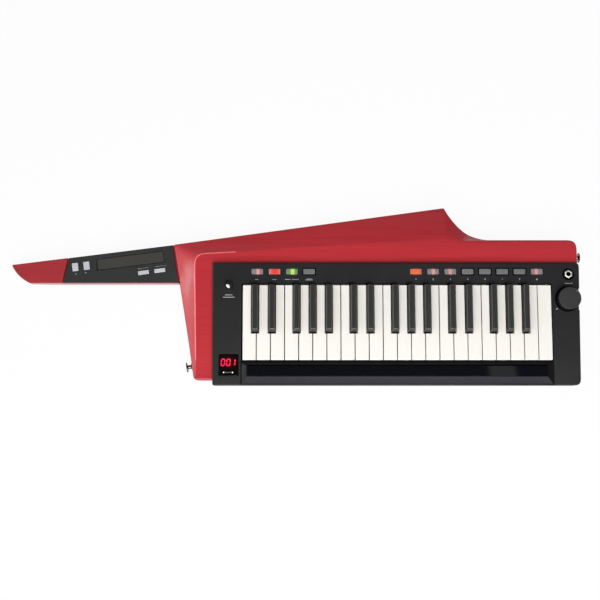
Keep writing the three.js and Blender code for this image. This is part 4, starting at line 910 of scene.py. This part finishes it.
def add_jack():
    """The jack's hexagonal nut, with painted shade in its recess, round a bore that is black inside."""
    jack = dress("phone_jack", ROOT, "chrome", NUT, JACK_EDGE, 3)
    jack.data.materials.append(BUSH)
    place = middle_of("phone_jack")
    top = box_of("phone_jack")[1].z
    for polygon in jack.data.polygons:
        centre = polygon.center / MM
        radius = math.hypot(centre.x - place.x, centre.y - place.y)
        in_bore = radius < JACK_BORE and centre.z < top - NUT_TOP_WITHIN
        if centre.z < PANEL_TOP - NUT_BELOW_PANEL or in_bore:
            polygon.material_index = 1
    well_lining("jack_well_lining", place, *JACK_WELL_RADII)
    lip = [(radius, top + rise) for radius, rise in JACK_LIP]
    collar = turned("jack_lip", lip, (place.x, place.y, 0), NUT, 48)
    tell(collar, ROOT, "chrome")


def add_strap_pins():
    low, high = box_of("strap_pin_right")
    right_start = (high.x - PIN_REACH, (low.y + high.y) / 2)
    for node, (x, y), way in (
        ("strap_pin_left", LEFT_PIN_START, LEFT_PIN_WAY),
        ("strap_pin_right", right_start, (1, 0, 0)),
    ):
        start, aim = Vector((x, y, PIN_HEIGHT)), Vector(way)
        pin = turned("dressed_" + node, PIN_PROFILE, start, PIN_PLATE, 48, aim)
        tell(pin, ROOT, "chrome", node)
        tell(turned(node + "_felt", FELT_PROFILE, start, PIN_FELT, 48, aim), ROOT, "chrome")


# Screws of the battery cover, set out by a node tree
SCREW_RADIUS = 2.2
SCREW_RISE = 0.38
SCREW_STEPS = 32
CROSS_HALF_WIDTH = 0.32
CROSS_REACH = 1.25
SCREW_INSET = 5.5


def screw_head():
    """A pan head with a cross recess, face down, as on the instrument's back."""
    form = bmesh.new()
    arm, reach = CROSS_HALF_WIDTH, CROSS_REACH
    cross = [
        (arm, arm), (arm, reach), (-arm, reach), (-arm, arm), (-reach, arm), (-reach, -arm),
        (-arm, -arm), (-arm, -reach), (arm, -reach), (arm, -arm), (reach, -arm), (reach, arm),
    ]
    rim = ring_outline(0, 0, SCREW_RADIUS, SCREW_STEPS)

    def ring(points, scale, z):
        return [form.verts.new((x * scale * MM, y * scale * MM, z * MM)) for x, y in points]

    base, edge, crown = ring(rim, 1.0, 0), ring(rim, 0.98, -0.2), ring(rim, 0.8, -SCREW_RISE)
    mouth, pit = ring(cross, 1.0, -SCREW_RISE), ring(cross, 0.85, -0.05)
    for low, high in ((base, edge), (edge, crown), (mouth, pit)):
        for i in range(len(low)):
            j = (i + 1) % len(low)
            form.faces.new((low[i], low[j], high[j], high[i]))
    form.faces.new(base)
    form.faces.new(pit)
    edges = [form.edges.get((r[i], r[(i + 1) % len(r)])) for r in (crown, mouth) for i in range(len(r))]
    bmesh.ops.triangle_fill(form, edges=edges, use_beauty=True)
    bmesh.ops.recalc_face_normals(form, faces=form.faces)
    mesh = bpy.data.meshes.new("screw_head")
    form.to_mesh(mesh)
    form.free()
    return bpy.data.objects.new("screw_head", mesh)


def screw_tree():
    """Puts a screw at each corner of a rectangle, Length by Width, and paints it."""
    tree = bpy.data.node_groups.new("corner_screws", "GeometryNodeTree")
    for name, kind in (
        ("Length", "NodeSocketFloat"),
        ("Width", "NodeSocketFloat"),
        ("Screw", "NodeSocketObject"),
        ("Material", "NodeSocketMaterial"),
    ):
        tree.interface.new_socket(name, in_out="INPUT", socket_type=kind)
    tree.interface.new_socket("Geometry", in_out="OUTPUT", socket_type="NodeSocketGeometry")
    made = {
        key: tree.nodes.new(kind)
        for key, kind in (
            ("inputs", "NodeGroupInput"),
            ("grid", "GeometryNodeMeshGrid"),
            ("screw", "GeometryNodeObjectInfo"),
            ("place", "GeometryNodeInstanceOnPoints"),
            ("real", "GeometryNodeRealizeInstances"),
            ("paint", "GeometryNodeSetMaterial"),
            ("output", "NodeGroupOutput"),
        )
    }
    made["grid"].inputs["Vertices X"].default_value = 2
    made["grid"].inputs["Vertices Y"].default_value = 2
    for source, output, target, socket in (
        ("inputs", "Length", "grid", "Size X"),
        ("inputs", "Width", "grid", "Size Y"),
        ("inputs", "Screw", "screw", "Object"),
        ("grid", "Mesh", "place", "Points"),
        ("screw", "Geometry", "place", "Instance"),
        ("place", "Instances", "real", "Geometry"),
        ("real", "Geometry", "paint", "Geometry"),
        ("inputs", "Material", "paint", "Material"),
        ("paint", "Geometry", "output", "Geometry"),
    ):
        tree.links.new(made[source].outputs[output], made[target].inputs[socket])
    return tree


def add_cover_screws():
    low, high = box_of("battery_cover")
    values = {
        "Length": (high.x - low.x - 2 * SCREW_INSET) * MM,
        "Width": (high.y - low.y - 2 * SCREW_INSET) * MM,
        "Screw": screw_head(),
        "Material": STEEL,
    }
    holder = bpy.data.objects.new("cover_screw_points", bpy.data.meshes.new("cover_screw_points"))
    bpy.context.scene.collection.objects.link(holder)
    modifier = holder.modifiers.new("corner_screws", "NODES")
    tree = screw_tree()
    modifier.node_group = tree
    for item in tree.interface.items_tree:
        if item.in_out == "INPUT":
            modifier[item.identifier] = values[item.name]
    mesh = settled_mesh(holder)
    centre = (low + high) / 2
    mesh.transform(Matrix.Translation((centre.x * MM, centre.y * MM, low.z * MM)))
    screws = new_object("cover_screws", mesh, STEEL)
    soften(screws, 0)
    tell(screws, ROOT, "chrome")


# Printed marks. A panel rule is its two ends, its middle line and half its width, measured from the middle
# of the control beside it. The heights of the toggle's rules are measured from the origin.
NUMBER_SIZE = 3.0
NUMBER_BELOW_FLANGE = 6.1
NUMBER_HALF_HEIGHT = 0.02
NUMBER_SPREAD = 0.1
KNOB_START_MARK = (222, 20.0, 22.8)
KNOB_START_HALF = 0.42
JACK_RULE = (-5.6, 5.4, -13.6, 0.55)
TOGGLE_RULES = ((-5.7, 5.4, -0.9, 0.5), (-8.6, 8.4, -4.2, 0.5))
FUNCTION_RULE_HALF = 0.45
NECK_TURN = 7.2
POINTER_SIZE = (1.2, 0.8)
POINTER_ASIDE = 1.5
POINTER_BELOW = 10.4
NECK_RULE_ABOVE = 6.6
NECK_RULE_HALF = 0.12
NECK_RULES = (("pitch_button", -9, 7), ("modulation_button", -7, 9))
FUNCTION_RULES = (
    (1, ((-3.4, 1.4, 11.5),)),
    (2, ((-3.2, 2.6, 11.5),)),
    (3, ((-10.4, -1.6, 11.5), (0.4, 9.9, 11.5))),
    (4, ((-3.9, 4.4, 10.8), (-5.4, 5.4, 12.2))),
)


def number_mesh(number, x, y, z):
    curve = bpy.data.curves.new("figure", "FONT")
    curve.body = str(number)
    curve.size = NUMBER_SIZE * MM
    curve.extrude = NUMBER_HALF_HEIGHT * MM
    curve.offset = NUMBER_SPREAD * MM
    curve.align_x = "CENTER"
    curve.align_y = "CENTER"
    holder = bpy.data.objects.new("figure", curve)
    bpy.context.scene.collection.objects.link(holder)
    mesh = settled_mesh(holder)
    mesh.transform(Matrix.Translation((x * MM, y * MM, z * MM)))
    return mesh


def add_program_numbers():
    """The numbers 1 to 8 in front of the program buttons."""
    y = box_of("program_buttons")[0].y - NUMBER_BELOW_FLANGE
    joined = bmesh.new()
    for number, x in enumerate(program_places(), 1):
        joined.from_mesh(number_mesh(number, x, y, PANEL_TOP + NUMBER_HALF_HEIGHT))
    bmesh.ops.remove_doubles(joined, verts=joined.verts, dist=0.001 * MM)
    mesh = bpy.data.meshes.new("program_numbers")
    joined.to_mesh(mesh)
    joined.free()
    tell(new_object("program_numbers", mesh, PRINT), ROOT, "black_plastic")


def add_panel_rules():
    """Short rules where the panel has its captions, and the mark where the knob's turn starts."""
    knob, jack, toggle = (middle_of(node) for node in ("volume_knob", "phone_jack", "toggle_lever"))
    rules = [(jack.xy, JACK_RULE)]
    rules += [(Vector((toggle.x, 0)), rule) for rule in TOGGLE_RULES]
    for number, parts in FUNCTION_RULES:
        place = middle_of("function_button_%d" % number).xy
        rules += [(place, (x0, x1, -below, FUNCTION_RULE_HALF)) for x0, x1, below in parts]
    outlines = [
        rectangle(place.x + x0, place.x + x1, place.y + y - half, place.y + y + half)
        for place, (x0, x1, y, half) in rules
    ]
    flat_marks("panel_rules", outlines, PANEL_TOP, PRINT_HEIGHT, FAINT_PRINT, ROOT, "black_plastic")
    start_mark = [radial_mark(knob, *KNOB_START_MARK, KNOB_START_HALF)]
    flat_marks("knob_start_mark", start_mark, PANEL_TOP, PRINT_HEIGHT, PRINT, ROOT, "black_plastic")


def add_neck_marks():
    """An arrowhead under each octave button, and a thin rule above the pitch and modulation buttons."""
    slope = math.tan(math.radians(NECK_TURN))
    down, up = middle_of("octave_down_button"), middle_of("octave_up_button")
    pitch = middle_of("pitch_button")
    reach, half = POINTER_SIZE
    marks = []
    for x, way in ((down.x + POINTER_ASIDE, -1), (up.x - POINTER_ASIDE, 1)):
        y = down.y - POINTER_BELOW + (x - down.x) * slope
        tip = (x + way * reach, y + way * reach * slope)
        marks.append([(x, y - way * half), tip, (x, y + way * half)])
    for node, before, after in NECK_RULES:
        ends = (middle_of(node).x + before, middle_of(node).x + after)
        line = [(x, pitch.y + NECK_RULE_ABOVE + (x - pitch.x) * slope) for x in ends]
        below = [(x, y - NECK_RULE_HALF) for x, y in line]
        marks.append(below + [(x, y + NECK_RULE_HALF) for x, y in reversed(line)])
    flat_marks("neck_marks", marks, box_of("neck_panel")[1].z, PRINT_HEIGHT, PRINT, ROOT, "black_plastic")


# Floor, lights and world
FLOOR_REACH = 60.0
FLOOR_DROP = 0.0002
FLOOR_WHITE_SHARE = 0.94


def camera_white(tree, surface, share):
    """Mixes plain white into what the camera and mirrors see, and leaves the object's shadow."""
    path = tree.nodes.new("ShaderNodeLightPath")
    white = tree.nodes.new("ShaderNodeEmission")
    white.inputs["Color"].default_value = WHITE
    white.inputs["Strength"].default_value = 1.0
    seen = tree.nodes.new("ShaderNodeMath")
    seen.operation = "MAXIMUM"
    tree.links.new(path.outputs["Is Camera Ray"], seen.inputs[0])
    tree.links.new(path.outputs["Is Glossy Ray"], seen.inputs[1])
    part = tree.nodes.new("ShaderNodeMath")
    part.operation = "MULTIPLY"
    part.inputs[1].default_value = share
    tree.links.new(seen.outputs[0], part.inputs[0])
    mix = tree.nodes.new("ShaderNodeMixShader")
    tree.links.new(part.outputs[0], mix.inputs[0])
    tree.links.new(surface, mix.inputs[1])
    tree.links.new(white.outputs[0], mix.inputs[2])
    return mix.outputs[0]


def add_floor():
    mesh = bpy.data.meshes.new("floor")
    corners = rectangle(-FLOOR_REACH, FLOOR_REACH, -FLOOR_REACH, FLOOR_REACH)
    mesh.from_pydata([(x, y, 0) for x, y in corners], [], [(0, 1, 2, 3)])
    material = bpy.data.materials.new("floor_white")
    material.use_nodes = True
    tree = material.node_tree
    surface = tree.nodes["Principled BSDF"]
    surface.inputs["Base Color"].default_value = (0.9, 0.9, 0.9, 1)
    surface.inputs["Roughness"].default_value = 0.9
    output = tree.nodes["Material Output"]
    tree.links.new(camera_white(tree, surface.outputs[0], FLOOR_WHITE_SHARE), output.inputs["Surface"])
    floor = new_object("floor", mesh, material)
    floor.location.z = -FLOOR_DROP


# Lamps: place, the point each is turned to, size, power, and how wide its light spreads in degrees
LAMPS = {
    "front_light": ((0.0, -1.1, 1.0), (0.0, 0.0, 0.0), (1.2, 0.5), 7.6, 180),
    "front_left_light": ((-0.4, -0.75, 0.75), (-0.05, 0.0, 0.0), (0.5, 0.35), 0.9, 180),
    "high_front_light": ((0.35, -0.85, 1.8), (0.1, -0.02, 0.0), (0.9, 0.5), 19.8, 180),
    "left_window": ((-1.2, 0.12, 0.62), (-0.16, 0.02, 0.04), (0.42, 0.62), 0.035, 30),
    "left_strip": ((-1.17, 0.11, 0.66), (-0.16, 0.02, 0.04), (0.14, 0.26), 0.012, 30),
    "right_card": ((0.719, -0.031, 2.05), (0.29, -0.112, 0.0485), (0.085, 0.09), 0.0088, 180),
}


def area_light(name, place, target, size, power, spread):
    data = bpy.data.lights.new(name, "AREA")
    data.shape = "RECTANGLE"
    data.size, data.size_y = size
    data.energy = power
    data.spread = math.radians(spread)
    light = bpy.data.objects.new(name, data)
    bpy.context.scene.collection.objects.link(light)
    light.location = place
    light.rotation_euler = (Vector(target) - Vector(place)).to_track_quat("-Z", "Y").to_euler()


# The world: how bright it is towards each side, low and high, and straight up, where the camera hangs.
# A side is an axis, a sign and two levels. A stop of the top is a height, from 0 to 1, and a level.
SIDE_LEVELS = (("X", 1, 0.14, 0.12), ("X", -1, 1.7, 1.4), ("Y", 1, 0.3, 0.14), ("Y", -1, 0.28, 0.45))
LOW_STOP, HIGH_STOP = 0.45, 0.6
TOP_LEVELS = ((0.0, 0.1), (0.78, 0.1), (0.87, 0.32), (0.92, 0.3), (0.96, 0.07))


def add_world():
    """A studio whose sides are unequally bright and blend into one another, with a dim ceiling."""
    world = bpy.data.worlds.new("studio")
    bpy.context.scene.world = world
    world.use_nodes = True
    tree = world.node_tree
    direction = tree.nodes.new("ShaderNodeTexCoord")
    parts = tree.nodes.new("ShaderNodeSeparateXYZ")
    tree.links.new(direction.outputs["Generated"], parts.inputs[0])

    def combine(operation, first, second):
        node = tree.nodes.new("ShaderNodeMath")
        node.operation = operation
        for socket, value in zip(node.inputs, (first, second)):
            if isinstance(value, bpy.types.NodeSocket):
                tree.links.new(value, socket)
            else:
                socket.default_value = value
        return node.outputs[0]

    def levels(stops):
        ramp = tree.nodes.new("ShaderNodeValToRGB")
        elements = ramp.color_ramp.elements
        while len(elements) < len(stops):
            elements.new(0.5)
        for element, (position, level) in zip(elements, stops):
            element.position = position
            element.color = (level, level, level, 1)
        tree.links.new(parts.outputs["Z"], ramp.inputs["Fac"])
        return ramp.outputs["Color"]

    sides = [(axis, sign, ((LOW_STOP, low), (HIGH_STOP, high))) for axis, sign, low, high in SIDE_LEVELS]
    total = 0.0
    for axis, sign, stops in sides + [("Z", 1, TOP_LEVELS)]:
        towards = combine("MAXIMUM", combine("MULTIPLY", parts.outputs[axis], sign), 0.0)
        total = combine("ADD", total, combine("MULTIPLY", combine("POWER", towards, 2.0), levels(stops)))
    tree.links.new(total, tree.nodes["Background"].inputs["Strength"])
    tree.nodes["Background"].inputs["Color"].default_value = WHITE


def add_lights():
    add_world()
    for name, settings in LAMPS.items():
        area_light(name, *settings)


bpy.context.scene.view_settings.view_transform = "Standard"
add_camera()
add_floor()
add_lights()
add_body()
add_control_panel()
add_display()
add_keys()
add_panel_buttons()
add_neck_buttons()
add_knob()
add_toggle()
add_jack()
add_strap_pins()
add_cover_screws()
add_program_numbers()
add_panel_rules()
add_neck_marks()
